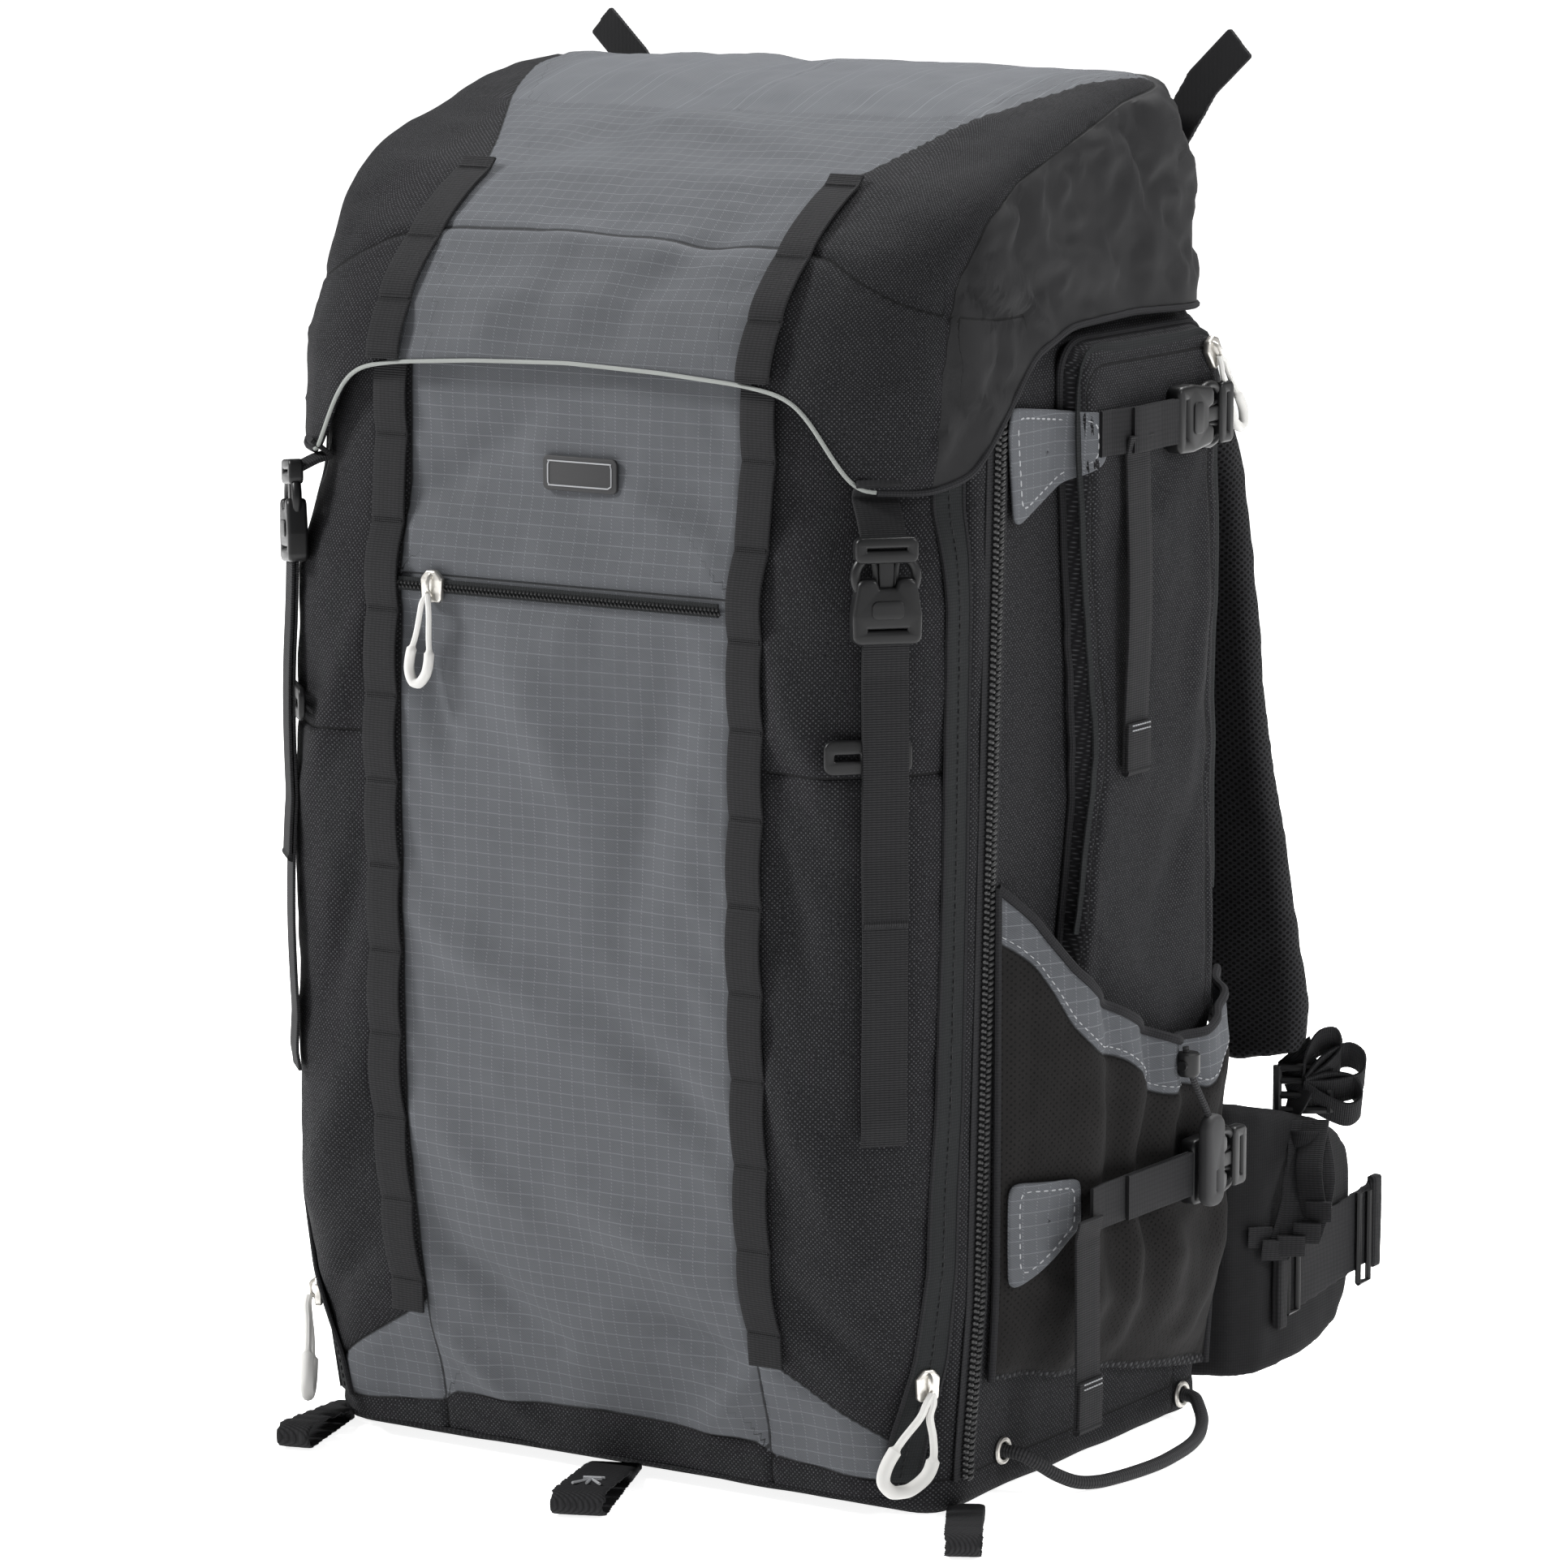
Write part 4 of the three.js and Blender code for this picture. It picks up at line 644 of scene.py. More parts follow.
def ripple(points, scale, seed=0.0):
    """Smooth seeded noise at each point, from -1 to 1."""
    shift = Vector((seed, seed * 1.7, -seed))
    rough = [noise.fractal(Vector(p / scale) + shift, 1.0, 2.0, 3) for p in points.reshape(-1, 3)]
    return np.array(rough).reshape(points.shape[:-1])


def creases(x, z, table):
    """Soft ridges and dents along straight lines of a face: rows of x0, z0, x1, z1, width, height."""
    total = np.zeros_like(x, float)
    for x0, z0, x1, z1, width, height in table:
        dx, dz = x1 - x0, z1 - z0
        size = dx * dx + dz * dz
        share = np.clip(((x - x0) * dx + (z - z0) * dz) / size, 0, 1)
        gap = np.hypot(x - x0 - dx * share, z - z0 - dz * share)
        swell = 0.35 + 0.65 * np.sin(np.pi * np.clip(share, 0.02, 0.98))
        total += height * np.exp(-(gap / width) ** 2) * swell
    return total


# ---- Reading the model's own surfaces

class Surface:
    """The outside of some nodes of the model, found by looking at it from outside."""

    def __init__(self, *names):
        points, faces = [], []
        for name in names:
            node, base = NODES[name], len(points)
            points += [node.matrix_world @ v.co / MM for v in node.data.vertices]
            faces += [tuple(base + i for i in face.vertices) for face in node.data.polygons]
        self.tree = BVHTree.FromPolygons(points, faces)

    def hit(self, origin, direction, reach=2000):
        found = self.tree.ray_cast(Vector(origin), Vector(direction), reach)[0]
        return None if found is None else np.array(found)

    def ring(self, z, centre, low=-180, high=180, count=721):
        """Outline at a level between two angles, 0 at the front and 90 to the right."""
        out = []
        for angle in np.radians(np.linspace(low, high, count)):
            away = np.array([math.sin(angle), -math.cos(angle), 0])
            origin = np.array([centre[0], centre[1], z]) + away * 600
            found = self.hit(origin, -away, 600)
            if found is not None:
                out.append(found)
        return np.array(out)

    def front(self, x, z):
        return self.hit((x, -500, z), (0, 1, 0))

    def side(self, y, z):
        return self.hit((500, y, z), (-1, 0, 0))


def spread(path, count):
    """The path again with a count of even points."""
    reach = walked(path)
    return points_at(path, reach, np.linspace(0, reach[-1], count))


def soften(grid, times=3, closed=False):
    """Evens out a grid of points; a closed one also runs on from its last column to its first."""
    grid = grid.copy()
    for _ in range(times):
        if closed:
            grid = (np.roll(grid, 1, 1) + 2 * grid + np.roll(grid, -1, 1)) / 4
        else:
            grid[:, 1:-1] = (grid[:, :-2] + 2 * grid[:, 1:-1] + grid[:, 2:]) / 4
        grid[1:-1] = (grid[:-2] + 2 * grid[1:-1] + grid[2:]) / 4
    return grid


def normals(grid):
    return unit(np.cross(np.gradient(grid, axis=1), np.gradient(grid, axis=0)))


def cloth_grid(grid, lay, zone, height=None, closed=False):
    """Cloth on a grid of points, raised along its normals by the height."""
    if height is not None:
        grid = grid + normals(grid) * height[..., None]
    return Form().add(grid, [tuple(f) for f in grid_faces(*grid.shape[:2], closed)], lay, zone)


def fan(row, middle, upward):
    """Triangles from a row of points to one in the middle, looking up or down."""
    edges = [(i, i + 1) if upward else (i + 1, i) for i in range(len(row) - 1)]
    return np.vstack([row, [middle]]), [(a, b, len(row)) for a, b in edges]


def segment_distance(x, z, x0, z0, x1, z1):
    """Distance to a line between two points, below 0 on its far side."""
    dx, dz = x1 - x0, z1 - z0
    share = np.clip(((x - x0) * dx + (z - z0) * dz) / (dx * dx + dz * dz), 0, 1)
    side = np.sign((x - x0) * dz - (z - z0) * dx)
    return np.hypot(x - x0 - dx * share, z - z0 - dz * share) * np.where(side == 0, 1, side)


def nearest(*fields):
    """The field that is closest to 0 at each point."""
    stack = np.stack(fields)
    return np.take_along_axis(stack, np.abs(stack).argmin(0)[None], 0)[0]


def main_shell():
    """Main bag in black basket cloth, with a seam round its foot and one up each side."""
    model = Surface("main_body")
    levels = np.concatenate([[0.3, 2, 5, 9], np.arange(13, 514, 4.0), [BAG["top"]]])
    count, half_girth = 260, 470
    grid = np.stack([spread(model.ring(z, (0, 0)), count) for z in levels])
    reach = np.linspace(-half_girth, half_girth, count)
    x, y, z = grid[..., 0], grid[..., 1], grid[..., 2]
    seam = nearest(z - 16, np.where(np.abs(x) > 150, y - 86, FAR))
    height = 0.9 * ripple(grid, 60, 3)
    height -= 0.9 * np.exp(-(seam / 1.6) ** 2)
    lay = np.stack([np.broadcast_to(reach, x.shape), z, 0 * z], -1)
    form = cloth_grid(grid, lay, np.stack([0 * x - FAR, 0 * x - FAR, seam], -1), height * folds())
    form.add(*fan(grid[0], (0, 0, 0), False))
    form.add(*fan(grid[-1], (0, 0, BAG["top"]), True))
    form.make("main_body_look", "shell", "black_cloth", replaces=("main_body",))


FRONT_FOLDS = [
    # x0, z0, x1, z1, width, height
    (-84, 380, -60, 330, 7, -1.6), (-40, 384, 10, 300, 16, 1.4), (60, 380, 30, 250, 14, -1.3),
    (-80, 250, -10, 210, 12, 1.3), (20, 215, 84, 160, 12, -1.5), (-82, 160, -30, 120, 10, 1.3),
    (0, 130, 80, 95, 12, 1.5), (-84, 110, -20, 60, 9, -1.6), (30, 80, 84, 60, 8, -1.4),
    (-20, 455, 70, 420, 9, 1.0), (-80, 430, -20, 470, 9, -1.0),
    (84, 60, 50, 24, 8, 1.3), (-84, 58, -40, 22, 8, 1.4),
    (104, 380, 140, 300, 10, 1.6), (104, 300, 128, 230, 9, -1.4), (106, 200, 145, 120, 12, 1.5),
    (-104, 380, -140, 300, 10, 1.6), (-104, 280, -130, 200, 9, -1.4), (-106, 190, -145, 110, 12, 1.5),
    (108, 100, 150, 60, 9, -1.3), (-108, 100, -150, 60, 9, -1.3), (0, 392, 0, 340, 22, 1.2),
]


def front_shell():
    """Front pocket: a grey ripstop panel between black edges, with its seams and folds."""
    model = Surface("front_pocket")
    levels = np.concatenate([[POCKET["foot"], 10.5], np.arange(12, 503, 2.6), [POCKET["top"]]])
    count = 200
    rows = []
    for z in levels:
        outline = model.ring(z, POCKET["middle"], -105, 105, 561)
        rows.append(spread(outline[outline[:, 1] < -bag_front(z) - 0.6], count))
    grid = soften(np.stack(rows), 4)
    steps = np.linalg.norm(np.diff(grid, axis=1), axis=2)
    reach = np.concatenate([np.zeros((len(levels), 1)), np.cumsum(steps, 1)], 1)
    reach -= reach[:, count // 2 - 1:count // 2 + 1].mean(1, keepdims=True)
    x, z = grid[..., 0], grid[..., 2]
    bottom = np.interp(np.abs(x), [0, 80, 88, 160], [30, 27, 22, 15])
    away, panel = np.abs(reach), POCKET["panel"]
    foot = np.interp(away, [panel, 170], [71, 21]) - z
    grey = np.minimum(np.maximum(panel - away, foot), z - bottom)
    seam = nearest(
        segment_distance(away, z, panel, 71, 170, 21), segment_distance(away, z, 103, 327, 190, 327),
        away - panel, z - bottom, np.where(away < panel, z - 398.5, FAR))
    height = 3.4 * creases(reach, z, FRONT_FOLDS) + 1.5 * ripple(grid, 45, 1)
    height *= 1 - 0.85 * np.exp(-((away - DAISY["centre"]) / 9) ** 4)
    height *= 1 - 0.95 * np.exp(-((x - 4.5) / 26) ** 4 - ((z - 446) / 14) ** 4)
    height *= 1 - 0.8 * np.exp(-((z - ZIP["level"]) / 9) ** 4)
    height += 1.2 * np.exp(-((away - 72) / 10) ** 2) * np.sin(z / 6 + reach / 9) * 0.5
    height -= 1.3 * np.exp(-(seam / 1.7) ** 2)
    edge = np.minimum(np.arange(count), np.arange(count)[::-1])[None]
    height *= np.clip(edge / 8, 0, 1)
    lay = np.stack([reach, z, 0 * z], -1)
    form = cloth_grid(grid, lay, np.stack([grey, 0 * x - FAR, seam], -1), height * folds())
    form.add(*fan(grid[-1], (0, -60, POCKET["top"]), True))
    form.add(*fan(grid[0], (0, -60, POCKET["foot"]), False))
    form.make("front_pocket_look", "shell", "grey_cloth", replaces=("front_pocket",))


LID_FOLDS = [
    # x0, along0, x1, along1, width, height
    (-60, 470, -20, 560, 14, 1.5), (10, 500, 70, 590, 13, -1.5), (-80, 560, 60, 545, 9, 1.4),
    (60, 640, -60, 660, 16, 1.4), (-80, 600, -10, 700, 14, -1.3),
]


def lid_columns(model, count, rows):
    """The lid's surface in columns from its rim to its crown, one for each angle round its middle."""
    rises = np.radians(np.arange(-16, 90.1, 1.0))
    columns = []
    for angle in np.radians(np.linspace(-180, 180, count)):
        flat = np.array([math.sin(angle), -math.cos(angle)])

        def probe(rise):
            away = np.array([flat[0] * math.cos(rise), flat[1] * math.cos(rise), math.sin(rise)])
            return model.hit(LID_MIDDLE + away * 500, -away, 500)

        found = [probe(rise) for rise in rises]
        first = next(i for i, p in enumerate(found) if p is not None and all(q is not None for q in found[i:]))
        low, high = rises[max(first - 1, 0)], rises[first]
        for _ in range(9):
            middle = (low + high) / 2
            if probe(middle) is None:
                low = middle
            else:
                high = middle
        columns.append(spread(np.array([probe(high), *found[first:]]), rows))
    return np.stack(columns, 1)


def lid_shell():
    """Lid and hood: a grey top and front, smooth sides, and piping round the rim."""
    count, rows = 321, 96
    middle = count // 2
    grid = soften(lid_columns(Surface("lid", "hood_side_right", "hood_side_left"), count, rows), 3)
    x, y, z = grid[..., 0], grid[..., 1], grid[..., 2]
    profile = grid[:, middle]
    reach = walked(profile) + profile[0][2]
    turn = np.arctan2(profile[:, 2] - LID_MIDDLE[2], -(profile[:, 1] - LID_MIDDLE[1]))
    angle = np.arctan2(z - LID_MIDDLE[2], -(y - LID_MIDDLE[1]))
    along = np.where(angle < turn[0], z, np.interp(angle, turn, reach))
    edge = np.interp(y, [-85, -60, -20, 20, 60, 115], [94, 105, 125, 140, 150, 155])
    grey = np.minimum(edge - np.abs(x), 112 - y)
    seam_z = np.interp(y, HOOD_SEAM[:, 0], HOOD_SEAM[:, 1])
    smooth = np.where(np.abs(x) > 108, np.minimum(seam_z - z, np.abs(x) - 108), -20)
    shoulder = z - np.interp(np.abs(x), SHOULDER_SEAM[:, 0], SHOULDER_SEAM[:, 1])
    shoulder = np.where((np.abs(x) < 172) & (y < -60), shoulder, FAR)
    seam = nearest(grey, smooth, shoulder)
    height = 1.7 * ripple(grid, 45, 5)
    height += np.clip(smooth / 8, 0, 1) * (2.2 * np.sin((y * 0.8 + z) / 9 + ripple(grid, 30, 8) * 4))
    height += 2.2 * creases(x, along, LID_FOLDS)
    height *= 1 - 0.8 * np.exp(-((np.abs(x) - 95) / 9) ** 4) * (y < -60)
    height -= 1.4 * np.exp(-(seam / 1.7) ** 2)
    row = np.arange(rows)[:, None]
    height *= np.clip(row / 6, 0, 1) * np.clip((rows - 1 - row) / 5, 0, 1)
    girth = walked(grid[16])
    girth = np.broadcast_to((girth - girth[middle])[None], x.shape)
    aside = np.clip((np.abs(x) - 120) / 45, 0, 1) ** 2
    lay = np.stack([x * (1 - aside) + girth * aside, along * (1 - aside) + z * aside, 0 * z], -1)
    form = cloth_grid(grid, lay, np.stack([grey, smooth, seam], -1), height * folds())
    form.make("lid_look", "shell", "grey_cloth", thickness=2,
              replaces=("lid", "hood_side_right", "hood_side_left"))
    rim = grid[0]
    front = rim[(rim[:, 1] < -110) & (np.abs(rim[:, 0]) < 146)]
    tube(front + [0, -0.5, 0.4], 0.95, 8).make("flap_piping_look", "piping", "grey_cloth")
    for name, side in (("right", 1), ("left", -1)):
        line = rim[((rim[:, 1] >= -112) | (np.abs(rim[:, 0]) > 144)) & (rim[:, 0] * side > 0)]
        line = line[np.argsort(line[:, 1])]
        tube(line, 1.5, 8).make(f"hood_piping_{name}_look", "dark_piping", "black_cloth")


def bar_tacks(path, across, out, levels, width=15):
    """Three threads side by side across a strap at each level."""
    form = Form()
    for level in levels:
        spot = path[np.abs(path[:, 2] - level).argmin()]
        for shift in (-0.9, 0, 0.9):
            a = spot + np.array(across) * width / 2 + np.array([0, 0, shift])
            b = spot - np.array(across) * width / 2 + np.array([0, 0, shift])
            form.join(tube(np.array([a, b]) + np.array(out) * 2.0, 0.35, 5, 3))
    return form


def daisies():
    """Daisy chains of the front pocket and the lid, bulging between their tacks."""
    model = Surface("front_pocket")
    z = np.arange(DAISY["bottom"], DAISY["top"] + 0.1, 1.5)
    path = np.array([model.front(DAISY["centre"], level) for level in z])
    path[:, 1] = rolling(path[:, 1], 6)
    path[:, 1] -= 2.6 * np.abs(np.sin(np.pi * (z - DAISY["first"]) / DAISY["step"])) ** 0.7
    path[:, 0] += 0.6 * np.sin(z / 23)
    form = strap(path, (-1, 0, 0), DAISY["width"], 1.5, 0.3, even=False)
    pair("front_daisy", form, "webbing", "black_webbing")
    levels = np.arange(DAISY["first"], 486, DAISY["step"])
    tacks = bar_tacks(path, (1, 0, 0), (0, -1, 0), levels)
    pair("daisy_tacks", tacks, "thread", "black_webbing", replaces=())
    model = Surface("lid")
    z = np.arange(491, 573, 1.5)
    path = np.array([model.front(95, level) for level in z])
    path[:, 1] = rolling(path[:, 1], 4)
    path[:, 1] -= 2.2 * np.abs(np.sin(np.pi * (z - 489) / 26)) ** 0.7
    form = strap(path, (-1, 0, 0), DAISY["width"], 1.5, 0.3, even=False)
    pair("lid_daisy", form, "webbing", "black_webbing")
    tacks = bar_tacks(path, (1, 0, 0), (0, -0.9, 0.4), (491, 515, 541, 567))
    pair("lid_daisy_tacks", tacks, "thread", "black_webbing", replaces=())


def label():
    """Blank rubber label with a pale frame."""
    low, high = node_box("label_patch")
    outline = box_outline(37, 14, 2)
    form = slab(outline, 1.6, (), 0.5)
    form.place(((low[0] + high[0]) / 2, low[1] + 1.4, (low[2] + high[2]) / 2), (1, 0, 0), (0, 0, 1))
    form.make("label_patch_look", "rubber", "black_rubber", replaces=("label_patch",))
    ring = [(4.5 + x * 0.88, low[1] - 0.25, 446 + z * 0.75) for x, z in outline]
    tube([*ring, ring[0]], 0.35, 5, 2).make("label_frame_look", "stitch", "black_rubber")


BALL_SIDES = 8
BALL = np.array([(0, 0, -1), *[
    (math.cos(a) * math.cos(b), math.sin(a) * math.cos(b), math.sin(b))
    for b in (-0.9, 0, 0.9) for a in np.linspace(0, TURN, BALL_SIDES, endpoint=False)], (0, 0, 1)])
BALL_PAIRS = [(i, (i + 1) % BALL_SIDES) for i in range(BALL_SIDES)]
BALL_FACES = [(0, 1 + j, 1 + i) for i, j in BALL_PAIRS]
BALL_FACES += [(1 + r + i, 1 + r + j, 9 + r + j, 9 + r + i) for r in (0, BALL_SIDES) for i, j in BALL_PAIRS]
BALL_FACES += [(25, 17 + i, 17 + j) for i, j in BALL_PAIRS]


def coil(path, across, out, width=6.5, pitch=2.7, size=1.0):
    """Two columns of slanted teeth along a path."""
    path = smooth_path(path, pitch)
    form = Form()
    along = tangents(path)
    side = unit(np.broadcast_to(across, path.shape))
    up = unit(np.broadcast_to(out, path.shape))
    for here, ahead, aside, above in zip(path, along, side, up):
        for sign in (1, -1):
            long = unit(aside * sign + ahead * 0.38)
            short = np.cross(above, long)
            spot = here + aside * sign * width * 0.25
            spot = spot + ahead * (pitch / 2 if sign < 0 else 0) + above * 0.9 * size
            tooth = BALL[:, :1] * long * width * 0.29 + BALL[:, 1:2] * short * 0.95 * size
            form.add(spot + tooth + BALL[:, 2:] * above * 0.9 * size, BALL_FACES)
    return form


def pull_loop(origin, right, down, out, length=44, width=11, radius=1.4):
    """Cord loop with a moulded grip, hanging from a slider."""
    right, down, out = (unit(v) for v in (right, down, out))
    shape = [(0, 0, 1.5), (1.6, 4, 2.2), (2.4, length * 0.24, 1.6), (width * 0.3, length * 0.46, 1.0),
             (width * 0.44, length * 0.68, 0.9), (width * 0.42, length * 0.86, 0.9),
             (width * 0.2, length * 0.98, 0.9), (0, length, 0.9)]
    line = shape + [(-a, b, c) for a, b, c in shape[::-1][1:]]
    points = [np.array(origin) + right * a + down * b + out * (c + radius) for a, b, c in line]
    cord = tube(points, radius, 8, 1.5)
    path = smooth_path(points, 1.0)
    held = path[(path - np.array(origin)) @ down > length * 0.56]
    ends = np.clip(np.minimum(np.arange(len(held)), np.arange(len(held))[::-1]) / 3, 0.55, 1)
    grip = tube(held, radius * 1.75 * ends, 12, even=False)
    return cord, grip


def slider(origin, right, down, out):
    """Zip slider: a waisted body with a bridge over it."""
    body = slab(round_outline([(4, -6), (4.6, 3), (2, 6), (-2, 6), (-4.6, 3), (-4, -6)], 1.2), 3.4, (), 1.0)
    body.place(origin, right, -np.array(down))
    arch = ((-5, 3), (-3, 5.4), (1, 5.6), (4, 3.2))
    bridge = tube([np.array(origin) + np.array(down) * a + np.array(out) * b for a, b in arch], 0.9, 8, 1)
    return body.join(bridge)


def front_zip():
    """Level zip of the front pocket, with its slider and pull."""
    model = Surface("front_pocket")
    xs = np.arange(ZIP["left"], ZIP["right"] + 0.1, 3)
    path = np.array([model.front(x, ZIP["level"]) for x in xs]) + [0, -0.4, 0]
    tape = strap(path + [0, -0.5, 0], (0, 0, 1), 6, 1.0, 0.0, even=False)
    tape.make("front_zip_tape_look", "tape", "zip_tape", replaces=("front_zip",))
    teeth = coil(path + [0, -1.2, -0.4], (0, 0, 1), (0, -1, 0), 3.4, 2.0, 0.7)
    teeth.make("front_zip_coil_look", "coil", "zip_tape")
    spot = model.front(-66, ZIP["level"]) + [0, -1.2, 0]
    slider(spot, (1, 0, 0), (0, 0, -1.0), (0, -1.0, 0)).make("front_slider_look", "nickel", "zip_tape")
    cord, grip = pull_loop(spot + [0, -3.0, -3], (1, 0, -0.1), (-0.17, 0.0, -1), (0, -1, 0), 40, 11, 1.3)
    cord.make("front_pull_cord_look", "pale", "pull_cord")
    grip.make("front_pull_grip_look", "pale", "pull_cord")


def steady(rows):
    """Evens out rows in place, each with the two before and the two after it."""
    rows[2:-2] = (rows[:-4] + rows[1:-3] + rows[2:-2] + rows[3:-1] + rows[4:]) / 5


def side_zips():
    """Felt zips of the front pocket's edges and the large zips of the main bag."""
    model = Surface("front_pocket")
    path, sides, outs = [], [], []
    for z in np.arange(17, 470, 3.0):
        outline = model.ring(z, POCKET["middle"], 20, 105, 341)
        outline = outline[outline[:, 1] < -bag_front(z) - 0.6][::-1]
        near, middle, far = points_at(outline, walked(outline), [1.5, 9, 16.5])
        path.append(middle)
        sides.append(unit(near - far))
        outs.append(unit(np.cross((0, 0, 1), near - far)))
    path, sides, outs = np.array(path), np.array(sides), np.array(outs)
    for rows in (path, sides, outs):
        steady(rows)
    outs = np.where(outs[:, :1] > 0, outs, -outs)
    band = facing_strap(path - outs * 0.2, sides, outs[0], 15.5, 1.1, 0.1, even=False)
    pair("gusset_zip", band, "tape", "zip_tape")
    seam = stitches(path + outs * 1.3, outs, 2.6, 3.6, 0.6, 0.3)
    pair("gusset_stitch", seam, "thread", "zip_tape", replaces=())
    near, far = (tube(path + outs * 0.6 + sides * shift, 1.1, 6, even=False) for shift in (8, -8))
    pair("gusset_piping", near.join(far), "dark_piping", "black_cloth", replaces=())
    spot, side, out = path[15], sides[15], outs[15]
    pair("gusset_slider", slider(spot + out, side, (0, 0, -1.0), out), "nickel", "zip_tape", replaces=())
    cord, grip = pull_loop(spot + out * 4 - [0, 0, 3], side, side * -0.35 + [0, 0, -1], out, 44, 25, 1.7)
    pair("gusset_pull_cord", cord, "pale", "pull_cord", replaces=())
    pair("gusset_pull_grip", grip, "pale", "pull_cord", replaces=())
    body = Surface("main_body")
    line = np.array([body.side(-99 + 18 * (z - 14) / 470, z) for z in np.arange(15, 484, 3.0)]) + [0.1, 0, 0]
    steady(line[:, 0])
    teeth = coil(line + [1.0, 0, 0], (0, 1, 0), (1, 0, 0), 9.2, 2.7, 1.25)
    pair("main_zip", teeth, "coil", "zip_tape")
    tape = facing_strap(line, (0, -1, 0), (1, 0, 0), 17, 0.9, 0.0, even=False)
    pair("main_zip_tape", tape, "dark_piping", "zip_tape", replaces=())


def clasp(length, width, thickness):
    """Side-release buckle, x across and y along: a bar and sprung arms in a socket."""
    w, h = width / 2, length / 2
    lower_slot = [(x, y - h * 0.78) for x, y in box_outline(width * 0.76, length * 0.09, 1)]
    socket = slab(round_outline(
        [(w, -h), (w * 1.02, -h * 0.5), (w * 0.84, h * 0.16), (w * 0.46, h * 0.16), (w * 0.34, -h * 0.02),
         (-w * 0.34, -h * 0.02), (-w * 0.46, h * 0.16), (-w * 0.84, h * 0.16), (-w * 1.02, -h * 0.5), (-w, -h)],
        [2, 3, 2, 1, 1.2, 1.2, 1, 2, 3, 2]), thickness, (lower_slot,), 1.7)
    upper_slot = [(x, y + h * 0.82) for x, y in box_outline(width * 0.74, length * 0.08, 1)]
    bar = slab(round_outline([(w * 0.94, h * 0.6), (w * 0.94, h), (-w * 0.94, h), (-w * 0.94, h * 0.6)], 1.8),
               thickness * 0.72, (upper_slot,), 1.3, thickness * 0.14)
    form = socket.join(bar)
    middle = thickness * 0.5
    outer_arm = ((0.66, 0.66), (0.9, 0.5), (1.0, 0.3), (0.94, 0.08), (0.72, -0.16), (0.6, -0.3))
    inner_arm = ((0.42, 0.64), (0.34, 0.4), (0.3, 0.0))
    for side in (1, -1):
        form.join(tube([(side * w * a, h * b, middle) for a, b in outer_arm], thickness * 0.25, 10, 1.0))
        form.join(tube([(side * w * a, h * b, middle) for a, b in inner_arm], thickness * 0.14, 8, 1.5))
    tongue = slab(box_outline(width * 0.2, length * 0.42, 1.4), thickness * 0.4, (), 0.7, thickness * 0.3)
    rib = slab(box_outline(width * 0.5, length * 0.16, 2), 1.0, (), 0.45, thickness - 0.3)
    return form.join(tongue.shift(0, h * 0.28, 0)).join(rib.shift(0, -h * 0.38, 0))


def node_box(name):
    """Lowest and highest corner of a node, in millimetres."""
    low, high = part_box(name)
    return np.array(low) / MM, np.array(high) / MM


def front_straps():
    """Corner straps: webbing up to a buckle, the stub above it and a gear hook, on the right and the left."""
    angle = math.radians(STRAP_TURN)
    out = np.array([math.sin(angle), -math.cos(angle), 0])
    right = np.array([math.cos(angle), math.sin(angle), 0])
    axis = np.array([*CORNER_AXIS, 0.0])
    width, tail = strap_width(), 24
    pocket = Surface("front_pocket")
    covered = Surface("front_pocket", "lid", "hood_side_right", "hood_side_left")

    def skin(model, z):
        return model.hit(axis + out * 300 + [0, 0, z], -out, 300)

    path = [skin(pocket, z) + out * (1.2 + 1.6 * abs(math.sin(z / 31))) for z in np.arange(170, 372, 4.0)]
    path[0], path[1] = path[0] - out * 1.0, path[1] - out * 0.6
    top = skin(covered, 444) + out * 0.4
    for side, sign, lean in (("right", 1, 0), ("left", -1, 7)):
        low, high = node_box(f"front_buckle_{side}")
        middle = (low + high) / 2 * [sign, 1, 1]
        seat = middle - out * 1.5 - [0, 0, 17]
        line = [*path, (path[-1] * 0.5 + seat * 0.5) + [0, 0, -3], seat]
        lower = facing_strap(line, -right, out, width, 1.5, 0.2)
        lower.join(strap([p + out * 1.9 for p in line[tail:]], -right, width, 1.5, 0.2))
        fold = line[tail] + out * 2.2
        lower.join(tube([fold - right * 9.6, fold + right * 9.6], 2.0, 8, 4))
        seat = middle - out * 1.5 + [0, 0, 17]
        stub = [seat, (seat * 0.45 + top * 0.55) + out * 0.3, top, skin(covered, 452) - out * 0.5]
        upper = strap(stub, -right, width, 2.2, 0.1)
        up = unit(np.array([0, 0, 1.0]) + right * math.tan(math.radians(lean)))
        body = clasp(42, 26, 9).place(middle - out * 4.5, unit(np.cross(up, out)), up)
        low, high = node_box(f"gear_hook_{side}")
        centre = (low + high) / 2 * [sign, 1, 1]
        slots = [[(x + s * 9, y) for x, y in box_outline(13, 4.6, 1.5)] for s in (-1, 1)]
        hook = slab(box_outline(36, 12.6, 3), 3, slots, 1.0).place(centre - out * 1.2, right, (0, 0, 1))
        for form, name, finish, slot in (
                (lower, "front_strap", "webbing", "black_webbing"),
                (upper, "front_strap_upper", "webbing", "black_webbing"),
                (body, "front_buckle", "plastic", "black_plastic"),
                (hook, "gear_hook", "plastic", "black_plastic")):
            shape = form if sign > 0 else form.mirrored()
            shape.make(f"{name}_{side}_look", finish, slot, replaces=(f"{name}_{side}",))


